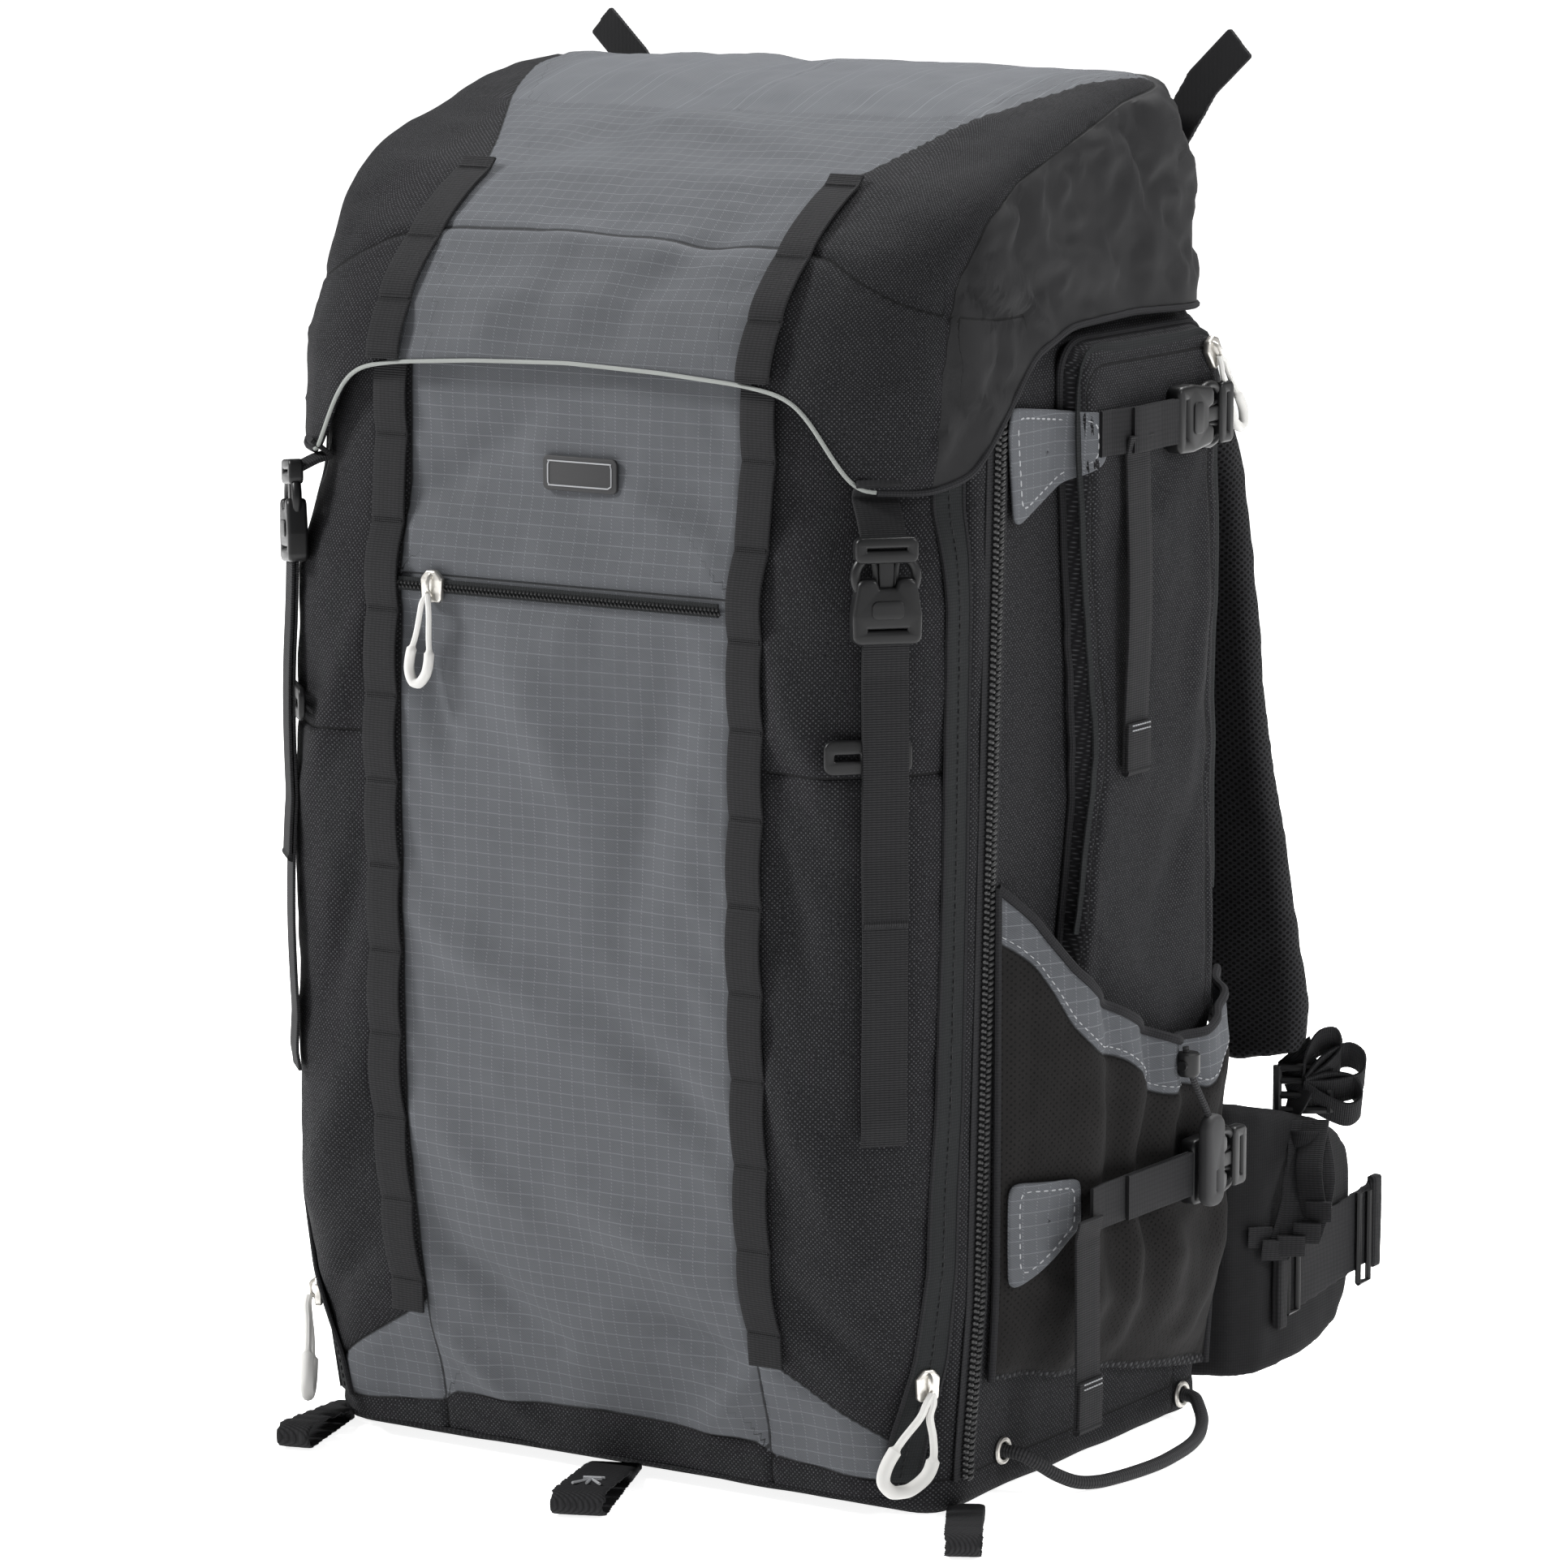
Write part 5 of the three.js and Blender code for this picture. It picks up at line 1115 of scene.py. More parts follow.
def outline_of(model, centre, low=5, high=400):
    """Edge of a side piece seen along X, as [angle, radius] from a centre (y, z)."""
    rows = []
    for angle in np.linspace(0, TURN, 180, endpoint=False):
        a, b = low, high
        if model.side(centre[0] + math.cos(angle) * a, centre[1] + math.sin(angle) * a) is None:
            continue
        for _ in range(11):
            m = (a + b) / 2
            if model.side(centre[0] + math.cos(angle) * m, centre[1] + math.sin(angle) * m) is None:
                b = m
            else:
                a = m
        rows.append((angle, a - 0.15))
    return np.array(rows)


SIDE_FOLDS = [
    # y0, z0, y1, z1, width, height
    (-20, 440, 60, 380, 13, 1.6), (70, 470, 10, 420, 12, -1.4), (-20, 330, 70, 280, 14, 1.6),
    (80, 300, 20, 220, 13, -1.5), (-30, 250, 40, 200, 11, 1.4), (85, 420, 60, 300, 9, 1.4),
]


def side_pockets():
    """Side pockets: folded black cloth, dark piping round the edge, and an arched zip with its pull."""
    model = Surface("side_pocket_right")
    centre = np.array([32.0, 345.0])
    edge = outline_of(model, centre)
    rim = np.array([(centre[0] + math.cos(a) * r, centre[1] + math.sin(a) * r) for a, r in edge])
    shares = np.linspace(0, 1, 60) ** 0.8
    count = len(rim)
    grid = np.zeros((len(shares), count, 3))
    for i, share in enumerate(shares):
        for j, spot in enumerate(rim):
            hit = model.side(*(centre + (spot - centre) * share))
            grid[i, j] = hit if hit is not None else grid[i - 1, j]
    grid[:, :, 0] = soften(grid, 3, True)[:, :, 0]
    y, z = grid[..., 1], grid[..., 2]
    inside = (1 - shares)[:, None] * np.hypot(rim[:, 0] - centre[0], rim[:, 1] - centre[1])[None]
    seam = nearest(inside - 11, np.where(z < 470, y - 80, FAR))
    height = 1.7 * ripple(grid, 50, 9) + 1.6 * creases(y, z, SIDE_FOLDS)
    height = (height + 1.5 * np.clip(inside / 20, 0, 1)) * np.clip(inside / 8, 0, 1)
    height = (height - 1.0 * np.exp(-(seam / 1.6) ** 2)) * folds()
    grid = grid + np.stack([height, 0 * height, 0 * height], -1)
    lay = np.stack([y, z, 0 * y], -1)
    form = cloth_grid(grid, lay, np.stack([0 * y - FAR, 0 * y - FAR, seam], -1), None, True)
    foot = grid[-1].copy()
    foot[:, 0] = 166.3
    form.add(np.stack([grid[-1], foot]), [tuple(f) for f in grid_faces(2, count, True)])
    pair("side_pocket", form, "shell", "side_cloth")
    loop = grid[-1] + [0.4, 0, 0]
    loop = np.roll(loop, -int(np.argmin(loop[:, 2])), 0)
    piping = tube(np.vstack([loop, loop[:1]]), 1.7, 8, 2.5)
    pair("side_pocket_piping", piping, "dark_piping", "side_cloth", replaces=())
    inner = np.array([grid[np.abs(inside[:, j] - 5.5).argmin(), j] for j in range(count)])
    arch = inner[inner[:, 2] > 240]
    gaps = np.linalg.norm(np.diff(np.vstack([arch, arch[:1]]), axis=0), axis=1)
    arch = np.roll(arch, -int(np.argmax(gaps)) - 1, 0)
    arch = soften(arch[None].repeat(3, 0), 3)[0]
    tape = strap(arch, unit(np.cross(tangents(arch), (1, 0, 0))), 8, 1.1, 0.1, even=False)
    pair("side_pocket_zip", tape, "tape", "zip_tape", replaces=())
    top = np.array([node_box("side_zip_pull_right")[1][0] - 3.4, 79, 488.0])
    lean = math.radians(35)
    down = unit(np.array([0, math.sin(lean), -math.cos(lean)]))
    across = np.cross((1, 0, 0), down)
    pull = slider(top - [1.4, 0, 0], across, down, (1.0, 0, 0))
    pair("side_slider", pull, "nickel", "zip_tape", replaces=())
    cord, grip = pull_loop(top + [0.6, 0, -2], across, down, (1, 0, 0), 40, 11, 1.3)
    pair("side_pull_cord", cord, "pale", "pull_cord", replaces=("side_zip_pull",))
    pair("side_pull_grip", grip, "pale", "pull_cord", replaces=())


def patch(corners, name, model, lift=0.5):
    """Grey reinforcing patch on the side with a dashed pale border."""
    ring = round_outline(corners, 2)
    middle = np.mean(ring, 0)
    dense = spread(np.array([(y, z, 0) for y, z in [*ring, ring[0]]]), 90)[:-1, :2]

    def rest(y, z):
        hit = model.side(y, z)
        return (hit[0] if hit is not None else 166) + lift, y, z

    rows = [[rest(*(middle + (p - middle) * share)) for p in dense] for share in np.linspace(0.02, 1, 14)]
    grid = soften(np.array(rows), 6, True)
    lay = np.stack([grid[..., 1], grid[..., 2], 0 * grid[..., 0]], -1)
    form = cloth_grid(grid, lay, np.full(grid.shape, (20.0, -FAR, FAR)), None, True)
    pair(name, form, "shell", "grey_cloth", replaces=(), thickness=-1.2)
    border = grid[10] + [1.2, 0, 0]
    thread = stitches(np.vstack([border, border[:1]]), (1, 0, 0), 3.0, 4.4, 0.8, 0.35)
    pair(f"{name}_thread", thread, "stitch", "grey_cloth", replaces=())


def side_straps():
    """Compression straps of the sides: webbing, folded tail, buckle and anchor, at two levels."""
    out, width = np.array([1, 0, 0]), strap_width()
    face = Surface("main_body", "side_pocket_right", "bottle_pocket_right", "front_pocket")
    for name, start, (y, end) in (("upper", -24, (5, 312)), ("lower", -50, (-53, 32))):
        level = SIDE_Z[name]
        low, high = node_box(f"{name}_buckle_right")
        middle = (low + high) / 2
        strap_node = Surface(f"{name}_strap_right")

        def rest(y, z, proud):
            hit = strap_node.side(y, z)
            return hit + [0.9, 0, 0] if hit is not None else face.side(y, z) + [proud, 0, 0]

        path = np.array([rest(y, level, 2.7) for y in np.arange(start + 2, 40, 3.0)])
        path[:, 0] = rolling(path[:, 0], 2)
        path = np.vstack([path, [[middle[0] - 1, 47, level]]])
        form = facing_strap(path, (0, 0, -1), out, width, 1.5, 0.2)
        form.join(facing_strap(path[len(path) // 3:] + [1.9, 0, 0], (0, 0, 1), out, width, 1.5, 0.2))
        zs = np.arange(end, level - 8, 3.0)
        hang = np.array([rest(y, z, 1.6) for z in zs])
        hang[:, 0] = rolling(hang[:, 0], 3) + 0.5 * np.sin(zs / 19)
        hang[:, 1] += 2.2 * np.sin((zs - end) / (level - end) * 3.0)
        hang = np.vstack([hang, [[hang[-1][0] + 2.4, y, level - 2]]])
        form.join(facing_strap(hang, (0, 1, 0), out, width, 1.5, 0.2))
        form.join(facing_strap(hang[:8] + [1.7, 0, 0], (0, 1, 0), out, width, 1.5, 0.2))
        form.join(tube([hang[0] + [1.8, -9.8, 0], hang[0] + [1.8, 9.8, 0]], 1.9, 8, 4))
        pair(f"{name}_strap", form, "webbing", "black_webbing")
        tack = Form()
        for rise in (0, 2.2):
            tack.join(stitches([hang[6] + [3.6, -8, rise], hang[6] + [3.6, 8, rise]], out, 1.6, 2.0, 0.7, 0.4))
        pair(f"{name}_tack", tack, "stitch", "black_webbing", replaces=())
        body = clasp(48, 26, 8).place(middle - [4.0, 0, 0], (0, 0, -1), (0, 1, 0))
        pair(f"{name}_buckle", body, "plastic", "black_plastic")
        anchor = [(middle[0] - 2, 84, level), (middle[0] - 2.5, 90, level),
                  (face.side(99, level)[0] + 1.0, 99, level), (face.side(104, level)[0] + 0.4, 104, level)]
        behind = strap(anchor, (0, 0, 1), width, 1.5, -0.5)
        pair(f"{name}_anchor", behind, "webbing", "black_webbing", replaces=())
    model = Surface("main_body", "main_zip_right", "side_pocket_right", "bottle_pocket_right")
    patch([(-78, 477), (-16, 470), (-15, 449), (-72, 424)], "upper_patch", model, 2.3)
    patch([(-81, 143), (-44, 140), (-43, 118), (-81, 94)], "lower_patch", model, 1.6)


BOTTLE_FOLDS = [
    # y0, z0, y1, z1, width, height
    (-80, 250, -20, 150, 10, 1.6), (-60, 215, 10, 120, 11, -1.6), (90, 190, 40, 90, 12, 1.6),
    (30, 170, 20, 60, 14, -1.4), (100, 120, 60, 40, 10, 1.4), (-70, 110, -30, 50, 9, 1.4),
]


def last_hit(model, y, inner, outer):
    """The level between two on a side, one on the piece and one off it, where the piece ends."""
    for _ in range(8):
        middle = (inner + outer) / 2
        if model.side(y, middle) is not None:
            inner = middle
        else:
            outer = middle
    return inner


def bottle_pockets():
    """Bottle pockets: mesh gathered under a grey collar, a black boot, and bound edges."""
    model = Surface("bottle_pocket_right")
    count = 130
    lines = []
    for y in np.linspace(-84.2, 109.7, count):
        good = [z for z in np.arange(16, 280, 2.0) if model.side(y, z) is not None]
        top = last_hit(model, y, good[-1], good[-1] + 2)
        foot = last_hit(model, y, good[0], good[0] - 2)
        lines.append([model.side(y, z) for z in np.linspace(foot + 0.02, top - 0.02, 110)])
    grid = soften(np.array(lines).transpose(1, 0, 2), 3)
    y, z = grid[..., 1], grid[..., 2]
    top = grid[-1, :, 2][None]
    collar = 24 + 3 * np.sin(y / 9)
    collar_zone = z - (top - collar)
    boot = np.interp(y, [-84, 110], [58, 26]) - z
    seam = nearest(collar_zone, boot)
    gather = np.clip(1 - (top - z) / 60, 0, 1)
    height = 2.6 * np.sin(y / 6.5 + 1.4 * np.sin(y / 21) + z / 70) * np.clip((z - 40) / 60, 0, 1)
    height += 1.4 * gather * np.sin(y / 4.4 + 1.2 * np.sin(y / 17))
    height += 1.4 * ripple(grid, 38, 6)
    height += 1.9 * creases(y, z, BOTTLE_FOLDS)
    height -= 1.2 * np.exp(-(seam / 1.8) ** 2)
    edge = np.minimum(np.arange(count), np.arange(count)[::-1])[None]
    height *= np.clip(edge / 8, 0.1, 1) * folds()
    lay = np.stack([y, z, 0 * y], -1)
    form = cloth_grid(grid, lay, np.stack([collar_zone, boot, seam], -1), height)
    if normals(grid)[50, 60][0] < 0:
        form.faces = [tuple(reversed(f)) for f in form.faces]
    pair("bottle_pocket", form, "bottle", "bottle_mesh", thickness=1.6)
    rim = grid[-1] + normals(grid)[-1] * height[-1][:, None]
    pair("bottle_rim", tube(rim, 2.1, 8, 2.2), "dark_piping", "side_cloth", replaces=())
    hem = top[0] - collar[0] + 3.5
    row = np.array([[np.interp(hem[j], grid[:, j, 2], grid[:, j, 0] + height[:, j]), grid[-1, j, 1], hem[j]]
                    for j in range(count)])
    thread = stitches(row + [0.25, 0, 0], (1, 0, 0), 2.6, 4.0, 0.6, 0.3)
    pair("bottle_thread", thread, "stitch", "side_cloth", replaces=())
    for name, rows in (("rear", grid[:, -1]), ("front", grid[:, 0])):
        edge = tube(rows + [0.2, 0, 0], 1.8, 8, 3)
        pair(f"bottle_{name}_edge", edge, "dark_piping", "side_cloth", replaces=())


def draw_cords():
    """Draw cord of the right bottle pocket, through its lock and into its end."""
    low, high = node_box("cord_end_right")
    lock_low, lock_high = node_box("cord_lock_right")
    lock = (lock_low + lock_high) / 2
    end = (low + high) / 2
    path = smooth_path([
        lock + [-1, -1, 8], lock, lock + [1, 4, -9],
        (end[0] - 1, end[1] - 4, high[2] + 5), (end[0], end[1], high[2] - 4)], 1.5)
    form = tube(path, 1.5, 8, even=False)
    piece = form.make("draw_cord_right_look", "cord", "shock_cord", replaces=("draw_cord_right",))
    rings = [lock + [0, 0, rise] for rise in (5.4, 4.6, -3.6, -5.2)]
    barrel = tube(rings, [4.4, 5.2, 5.2, 4.2], 20, even=False)
    barrel.join(tube([lock + [0, -4.5, 0], lock + [0, -6, 0]], [2.6, 2.2], 12, even=False))
    hole = [(x, y - 9) for x, y in box_outline(4, 12, 1.6)]
    tab = slab(box_outline(10.6, 37, 4), 6.6, (hole,), 2.2)
    tab.place((low[0] + 0.8, end[1], end[2]), (0, 1, 0), (0, 0, 1))
    lock_piece = barrel.make("cord_lock_right_look", "plastic", "black_plastic", replaces=("cord_lock_right",))
    end_piece = tab.make("cord_end_right_look", "rubber", "black_rubber", replaces=("cord_end_right",))


SHOCK_CORD = [
    (162.6, -67, 20), (171, -66.2, 19.4), (177.5, -62.5, 15.4), (183.5, -56, 9.6), (189, -47.5, 5.2),
    (193.5, -37, 3.6), (197, -24, 3.4), (199.5, -9, 3.4), (200.5, 6, 3.4), (199.5, 21, 3.4),
    (197.5, 36, 3.4), (194, 50, 3.5), (189, 63, 4), (183, 75, 5.6), (176, 84.5, 8.2), (170, 90.6, 10.2),
    (162.6, 92, 10.4)]


def shock_cords():
    """Shock cords at the foot of the bag, from the front eyelet to the rear one."""
    path = smooth_path(SHOCK_CORD, 2)
    form = tube(path, 3, 12, even=False)
    for side, sign in (("right", 1), ("left", -1)):
        shape = form if sign > 0 else form.mirrored()
        piece = shape.make(f"shock_cord_{side}_look", "cord", "shock_cord", replaces=(f"shock_cord_{side}",))
    for name in ("front", "rear"):
        low, high = node_box(f"{name}_eyelet_right")
        middle = (low + high) / 2
        ring = [(high[0] - 0.9, middle[1] + math.cos(a) * 5.0, middle[2] + math.sin(a) * 5.0)
                for a in np.linspace(0, TURN, 25)]
        pair(f"{name}_eyelet", tube(ring, 1.2, 8, 1), "nickel", "black_cloth")


def soft(name, finish, slot, voxel=3.0, times=8, wrinkle=0.8, lay=None, grow=0.0):
    """A soft piece shaped over one of the model's: rounded, slightly wrinkled."""
    node = NODES[name]
    copy = node.data.copy()
    copy.transform(node.matrix_world)
    holder = bpy.data.objects.new("soft", copy)
    bpy.context.scene.collection.objects.link(holder)
    remesh = holder.modifiers.new("remesh", "REMESH")
    remesh.mode, remesh.voxel_size = "VOXEL", voxel * MM
    smooth = holder.modifiers.new("smooth", "SMOOTH")
    smooth.factor, smooth.iterations = 0.5, times
    mesh = bpy.data.meshes.new_from_object(holder.evaluated_get(bpy.context.evaluated_depsgraph_get()))
    bpy.data.objects.remove(holder)
    points = np.array([v.co for v in mesh.vertices]).reshape(-1, 3) / MM
    normal = np.array([v.normal for v in mesh.vertices]).reshape(-1, 3)
    faces = [tuple(f.vertices) for f in mesh.polygons]
    bpy.data.meshes.remove(mesh)
    cover = points if lay is None else lay(points)
    rise = wrinkle * ripple(points, 26, len(name) * 0.7) + grow
    form = Form().add(points + normal * rise[:, None], faces, cover)
    piece = form.make(f"{name}_look", finish, slot, replaces=(name,), sharp=60)


def base_loops():
    """Webbing loops under the bag's front and corners."""
    for name in ("tripod_loop", "corner_loop_right", "corner_loop_left"):
        soft(name, "webbing", "black_webbing", 1.6, 4, wrinkle=0.2)


def padding_lay(points):
    return np.stack([points[:, 0] * 0.7 + points[:, 1] * 0.7, points[:, 2], 0 * points[:, 0]], -1)


def belt_lay(points):
    return np.stack([points[:, 2], points[:, 1] + abs(points[:, 0]) * 0.3, 0 * points[:, 0]], -1)


def harness():
    """Back pad, shoulder straps and hip belt as foam pads, with the belt webbing and the lid tails."""
    for side in ("right", "left"):
        soft(f"shoulder_strap_{side}", "spacer", "spacer_mesh", 2.6, 7, 0.7, padding_lay, 0.6)
        soft(f"hip_belt_{side}", "pad_cloth", "spacer_mesh", 2.6, 7, 0.8, padding_lay, 0.6)
        soft(f"belt_webbing_{side}", "webbing", "black_webbing", 1.2, 3, 0.3, belt_lay)
        soft(f"lid_tail_{side}", "webbing", "black_webbing", 1.2, 3, 0.3)
    soft("back_pad", "spacer", "spacer_mesh", 2.6, 6, 0.6, None, 0.4)


def loose_webbing():
    """Shoulder webbing through its lock, folded loops beside it and the bundled tail below."""
    rise = np.array([0, 0, 1])
    lock = np.array([170.0, 192, 134])
    face, toward = np.array([0.843, 0.537, 0]), unit(np.array([0.53, -0.83, 0.165]))
    run = [(163, 196, 152), (167, 194, 144), lock, (162, 184, 112), (148, 166, 92), (126, 144, 76)]
    form = strap(run, (0.72, 0.2, 0.67), 20, 1.5, 0)
    bow = ((0, 0.04), (0.4, 0.24), (0.85, 0.26), (1.08, 0), (0.85, -0.26), (0.4, -0.2), (0, -0.04))
    for turn, size, tilt in ((24, 30, 0.9), (58, 26, 1.1), (-12, 27, 0.8)):
        angle = math.radians(turn)
        away = face * math.cos(angle) + rise * math.sin(angle)
        beside = np.cross(toward, away)
        loop = np.minimum([lock + away * size * a + beside * size * b for a, b in bow], (202, 205, np.inf))
        form.join(strap(loop, unit(toward * 0.8 + rise * tilt), 17, 1.3, 0))
    folded = ((-14, 70, -6), (-7, 64, 3), (0, 66, -2), (7, 72, 5), (12, 82, -4))
    for index, (side, low, lean) in enumerate(folded):
        start = np.array([181.0, 176, 124]) + face * side * 0.35
        end = np.array([186.0, 152, low]) + face * side
        middle = (start + end) / 2 + toward * (3 + index) + face * lean
        across = unit(face + toward * 0.25 * (index - 2))
        form.join(strap([start, middle, end, end + toward * 3 + [0, 0, 9]], across, 13, 1.3, 0))
    band = [np.array([181.5, 173, 116]) + face * 8 * math.cos(a) + toward * 7 * math.sin(a)
            for a in np.linspace(0, TURN, 17)]
    form.join(strap(band, (0.1, 0.1, 1), 8, 1.4, 0))
    pair("strap_webbing", form, "webbing", "black_webbing")
    ladder = Form()
    for z in (-9, -2, 5, 11):
        ladder.join(tube([lock + face * -12 + [0, 0, z], lock + face * 12 + [0, 0, z]], 1.9, 8, 4))
    for side in (-12, 12):
        ladder.join(tube([lock + face * side + [0, 0, -10], lock + face * side + [0, 0, 12]], 2.2, 8, 4))
    pair("ladder_lock", ladder, "plastic", "black_plastic", replaces=())
    model = Surface("belt_webbing_right")
    rings = Form()
    for y in (166, 236):
        x = model.side(y, 56)[0] + 1.6
        corners = [(x, y - 5, 36), (x, y + 5, 36), (x, y + 5, 79), (x, y - 5, 79), (x, y - 5, 36)]
        rings.join(tube(corners, 1.5, 8, even=False)).join(tube([corners[0], corners[3]], 1.5, 8, even=False))
    pair("belt_slider", rings, "plastic", "black_plastic", replaces=())


TRIPOD_LINES = [
    # across, down, across, down, width
    (0, -3, -6, 9, 1.1), (0, -3, 6, 9, 1.1), (0, -3, 0, 8, 1.1), (-4, -5, 4, -5, 1.6),
    (-3, -7.5, 5, -7.5, 1.0), (0, -7, 0, -3, 1.2),
]


def tripod_sign():
    """Pale pictogram of a tripod on the base's front loop."""
    model = Surface("tripod_loop")
    low, high = node_box("tripod_loop")
    turn = math.radians(22.5)
    across = np.array([math.cos(turn), math.sin(turn), 0])
    down = np.array([math.sin(turn), -math.cos(turn), 0])
    seat = np.array([(low[0] + high[0]) / 2, (low[1] + high[1]) / 2, 0]) + down * 14
    form = Form()
    for x0, y0, x1, y1, width in TRIPOD_LINES:
        points = []
        for share in np.linspace(0, 1, 7):
            spot = seat + across * (x0 + (x1 - x0) * share) + down * (y0 + (y1 - y0) * share)
            hit = model.hit(spot + [0, 0, 60], (0, 0, -1))
            points.append((hit if hit is not None else spot + [0, 0, 8]) + [0, 0, 0.2])
        form.join(tube(points, width * 0.6, 6, even=False))
    form.make("tripod_sign_look", "stitch", "black_webbing")


# ---- Stage

LAMPS = [
    # name, place and size in metres, watts
    ("key", (-2.4, -1.5, 2.4), 0.8, 150), ("fill", (3.2, 0.2, 2.0), 0.9, 55), ("top", (0.2, 1.0, 2.4), 1.2, 80),
]
VIEW = {"target": (0.0069, 0.0007, 0.2903), "azimuth": 32.5, "elevation": 9.5, "distance": 3.095, "lens": 158.4}
WHITE = (1, 1, 1)


def link(piece):
    bpy.context.scene.collection.objects.link(piece)
    return piece


def look_at(piece, place, target):
    piece.location = place
    piece.rotation_euler = (Vector(target) - Vector(place)).to_track_quat("-Z", "Y").to_euler()


def studio():
    """White paper floor, white surround, three soft lights and the camera."""
    scene, looks = bpy.context.scene, bpy.context.scene.backpack_looks
    floor = bpy.data.meshes.new("floor")
    floor.from_pydata([(-40, -40, 0), (40, -40, 0), (40, 40, 0), (-40, 40, 0)], [], [(0, 1, 2, 3)])
    paper = Finish("white_paper", 0.9, emission_strength=0.86)
    paper.feed(paper.shader.inputs["Emission Color"], WHITE)
    place = paper.node("ShaderNodeTexCoord", None, output="Object")
    tint = paper.mix(paper.clouds(place, 3, 2), (0.9, 0.9, 0.9), (0.93, 0.93, 0.93))
    floor.materials.append(paper.done(tint))
    ground = link(bpy.data.objects.new("floor", floor))
    scene.world = bpy.data.worlds.new("white_room")
    scene.world.use_nodes = True
    room = Tree(scene.world.node_tree)
    background = room.tree.nodes["Background"]
    seen = room.node("ShaderNodeLightPath", None, output="Is Camera Ray")
    strength = room.node("ShaderNodeMapRange", None, value=seen, to_min=looks.surround, to_max=1.05)
    room.feed(background.inputs["Strength"], strength)
    room.feed(background.inputs["Color"], WHITE)
    for name, spot, size, power in LAMPS:
        light = bpy.data.lights.new(name, "AREA")
        light.shape, light.size, light.energy = "SQUARE", size, power * looks.brightness
        look_at(link(bpy.data.objects.new(name, light)), spot, (0, 0, 0.3))
    lens = bpy.data.cameras.new("camera")
    lens.sensor_width, lens.lens = 36, VIEW["lens"]
    camera = link(bpy.data.objects.new("camera", lens))
    azimuth, elevation = math.radians(VIEW["azimuth"]), math.radians(VIEW["elevation"])
    back = Vector((math.sin(azimuth) * math.cos(elevation), -math.cos(azimuth) * math.cos(elevation),
                   math.sin(elevation)))
    camera.location = Vector(VIEW["target"]) + back * VIEW["distance"]
    camera.rotation_euler = (-back).to_track_quat("-Z", "Y").to_euler()
    scene.camera = camera
    scene.view_settings.view_transform = "Standard"


# ---- Sizes, looks and operators

class BackpackSizes(bpy.types.PropertyGroup):
    """Sizes of the cloth and webbing."""
    strap_width: FloatProperty(
        name="Strap width", description="Width of the front and side straps",
        default=0.02, min=0.01, unit="LENGTH")
    folds: FloatProperty(
        name="Folds", description="Depth of the folds and seams of the cloth",
        default=1.0, min=0, subtype="FACTOR")


class BackpackLooks(bpy.types.PropertyGroup):
    """Finish and light of the scene."""
    grey: FloatVectorProperty(
        name="Grey cloth", description="Lit colour of the grey ripstop", subtype="COLOR",
        default=(0.09, 0.094, 0.102))
    black: FloatVectorProperty(
        name="Black cloth", description="Colour of the black basket weave", subtype="COLOR",
        default=(0.0075, 0.0075, 0.0085))
    brightness: FloatProperty(name="Light", description="Strength of the studio lights", default=1.0, min=0)
    surround: FloatProperty(name="Surround", description="Strength of the white surround", default=0.3, min=0)


class BACKPACK_OT_stage(bpy.types.Operator):
    """Sets up the floor, the lights and the camera"""
    bl_idname = "backpack.stage"
    bl_label = "Stage"

    def execute(self, context):
        studio()
        return {"FINISHED"}


class BACKPACK_OT_cords(bpy.types.Operator):
    """Makes the shock cords and the draw cord"""
    bl_idname = "backpack.cords"
    bl_label = "Cords"

    def execute(self, context):
        shock_cords()
        draw_cords()
        return {"FINISHED"}


class BACKPACK_OT_bag(bpy.types.Operator):
    """Makes the main bag"""
    bl_idname = "backpack.bag"
    bl_label = "Main bag"

    def execute(self, context):
        main_shell()
        return {"FINISHED"}


class BACKPACK_OT_pocket(bpy.types.Operator):
    """Makes the front pocket with its zip and label"""
    bl_idname = "backpack.pocket"
    bl_label = "Front pocket"

    def execute(self, context):
        front_shell()
        front_zip()
        label()
        return {"FINISHED"}


class BACKPACK_OT_lid(bpy.types.Operator):
    """Makes the lid and its hood"""
    bl_idname = "backpack.lid"
    bl_label = "Lid"

    def execute(self, context):
        lid_shell()
        return {"FINISHED"}


class BACKPACK_OT_daisies(bpy.types.Operator):
    """Makes the daisy chains of the pocket and the lid"""
    bl_idname = "backpack.daisies"
    bl_label = "Daisy chains"

    def execute(self, context):
        daisies()
        return {"FINISHED"}


class BACKPACK_OT_side_zips(bpy.types.Operator):
    """Makes the zips of the pocket's edges and of the main bag"""
    bl_idname = "backpack.side_zips"
    bl_label = "Side zips"

    def execute(self, context):
        side_zips()
        return {"FINISHED"}


class BACKPACK_OT_front_straps(bpy.types.Operator):
    """Makes the front straps, buckles and gear hooks"""
    bl_idname = "backpack.front_straps"
    bl_label = "Front straps"

    def execute(self, context):
        front_straps()
        return {"FINISHED"}


class BACKPACK_OT_side_pockets(bpy.types.Operator):
    """Makes the side pockets and their zips"""
    bl_idname = "backpack.side_pockets"
    bl_label = "Side pockets"

    def execute(self, context):
        side_pockets()
        return {"FINISHED"}


class BACKPACK_OT_side_straps(bpy.types.Operator):
    """Makes the compression straps, their buckles and the grey patches"""
    bl_idname = "backpack.side_straps"
    bl_label = "Side straps"

    def execute(self, context):
        side_straps()
        return {"FINISHED"}


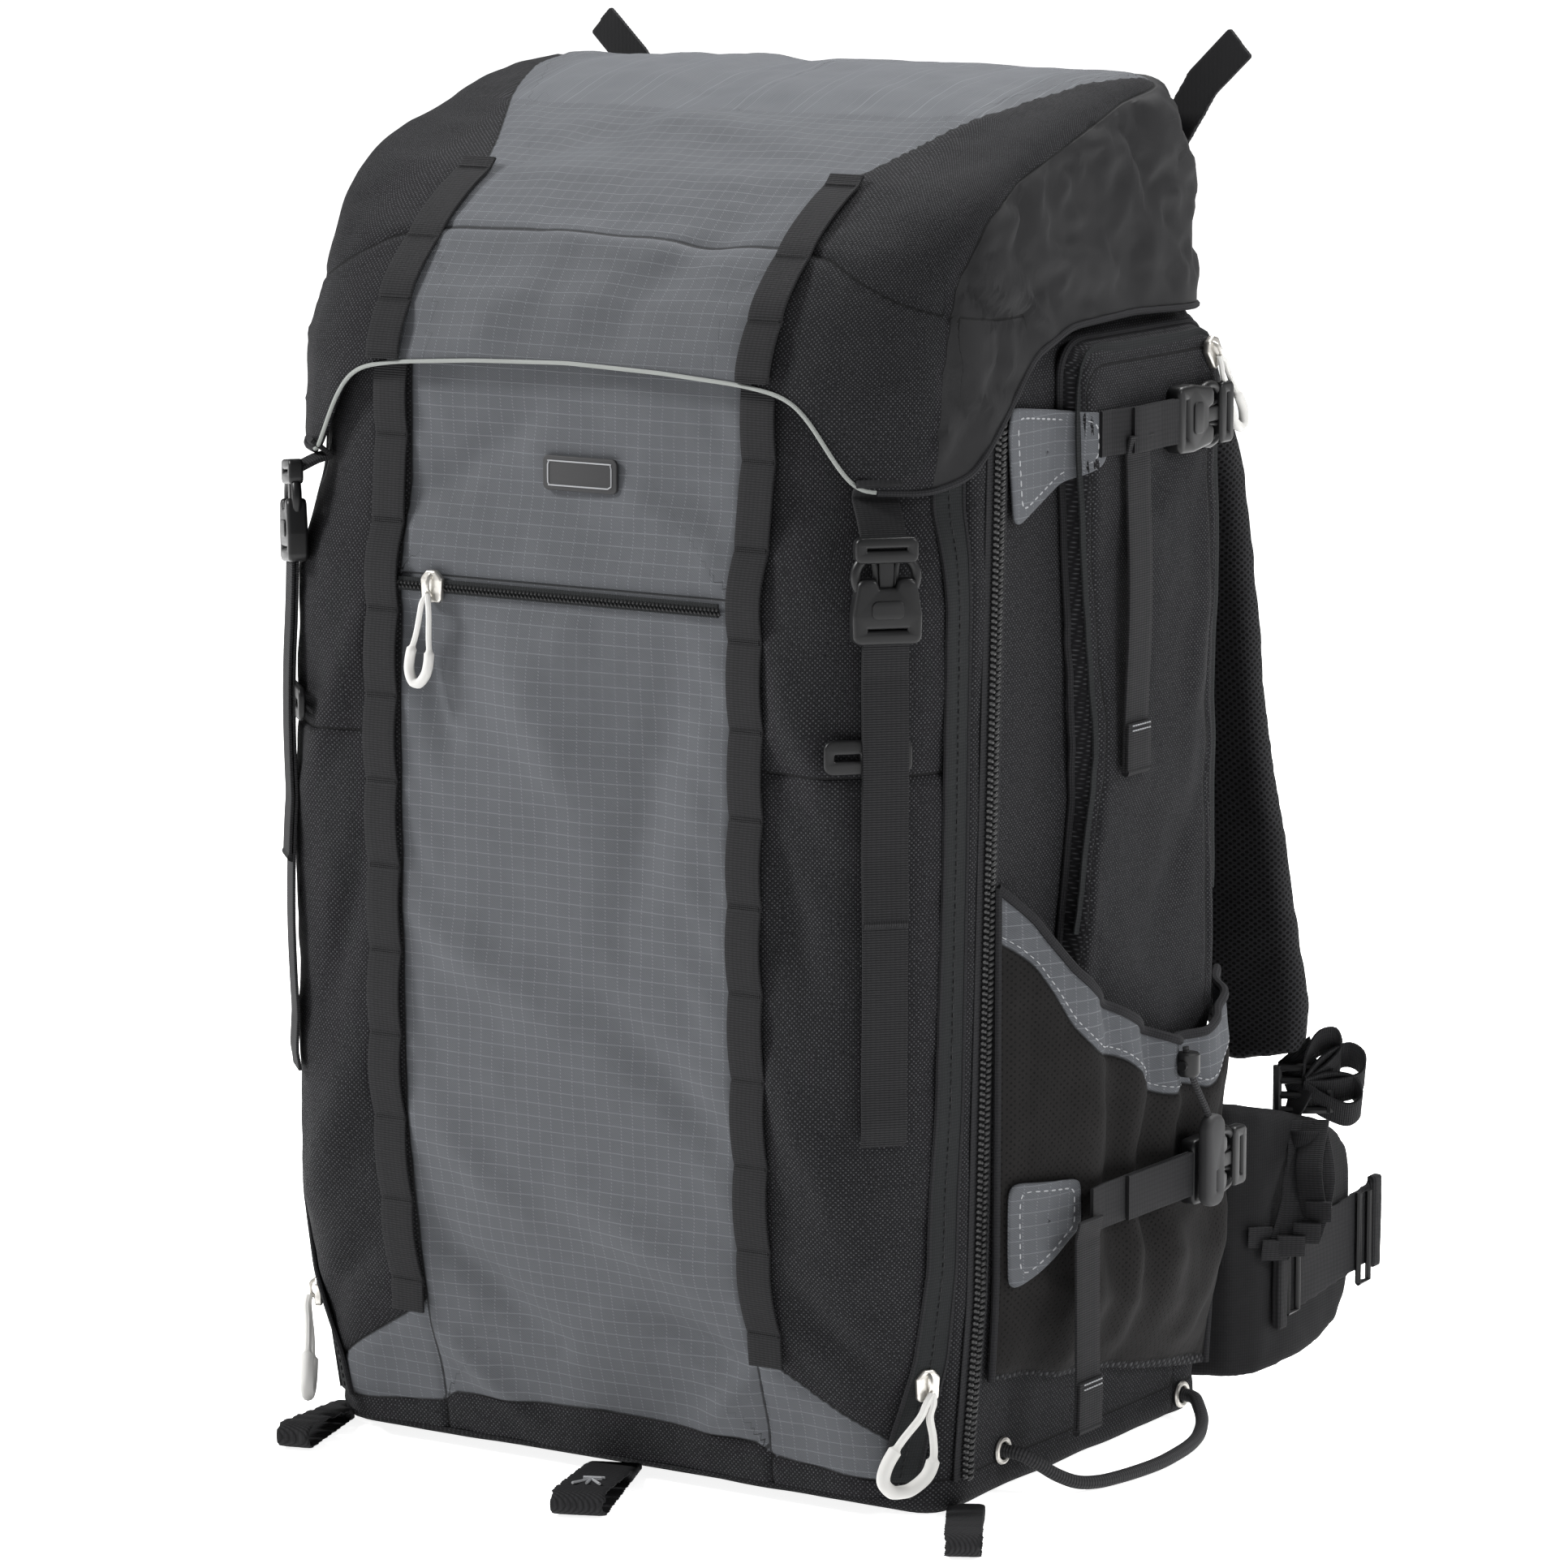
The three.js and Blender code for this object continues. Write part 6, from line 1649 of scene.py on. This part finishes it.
class BACKPACK_OT_bottles(bpy.types.Operator):
    """Makes the bottle pockets"""
    bl_idname = "backpack.bottles"
    bl_label = "Bottle pockets"

    def execute(self, context):
        bottle_pockets()
        return {"FINISHED"}


class BACKPACK_OT_base(bpy.types.Operator):
    """Makes the webbing loops at the base and the tripod sign"""
    bl_idname = "backpack.base"
    bl_label = "Base loops"

    def execute(self, context):
        base_loops()
        tripod_sign()
        return {"FINISHED"}


class BACKPACK_OT_harness(bpy.types.Operator):
    """Makes the back pad, shoulder straps, hip belt and loose webbing"""
    bl_idname = "backpack.harness"
    bl_label = "Harness"

    def execute(self, context):
        harness()
        loose_webbing()
        return {"FINISHED"}


OPERATORS = [
    BACKPACK_OT_stage, BACKPACK_OT_cords, BACKPACK_OT_bag, BACKPACK_OT_pocket, BACKPACK_OT_lid,
    BACKPACK_OT_daisies, BACKPACK_OT_side_zips, BACKPACK_OT_front_straps, BACKPACK_OT_side_pockets,
    BACKPACK_OT_side_straps, BACKPACK_OT_bottles, BACKPACK_OT_base, BACKPACK_OT_harness,
]


class BACKPACK_PT_panel(bpy.types.Panel):
    """Buttons for the pieces and sliders for the sizes and looks"""
    bl_idname = "BACKPACK_PT_panel"
    bl_label = "Backpack"
    bl_space_type = "VIEW_3D"
    bl_region_type = "UI"
    bl_category = "Backpack"

    def draw(self, context):
        for key in ("strap_width", "folds"):
            self.layout.prop(context.scene.backpack_sizes, key)
        for key in ("grey", "black", "brightness", "surround"):
            self.layout.prop(context.scene.backpack_looks, key)
        for kind in OPERATORS:
            self.layout.operator(kind.bl_idname)


CLASSES = [BackpackSizes, BackpackLooks, *OPERATORS, BACKPACK_PT_panel]


def register():
    for kind in CLASSES:
        bpy.utils.register_class(kind)
    bpy.types.Scene.backpack_sizes = PointerProperty(type=BackpackSizes)
    bpy.types.Scene.backpack_looks = PointerProperty(type=BackpackLooks)


def unregister():
    del bpy.types.Scene.backpack_looks
    del bpy.types.Scene.backpack_sizes
    for kind in reversed(CLASSES):
        bpy.utils.unregister_class(kind)


def main():
    register()
    for kind in OPERATORS:
        getattr(bpy.ops.backpack, kind.bl_idname.split(".")[1])()


if __name__ == "__main__":
    main()
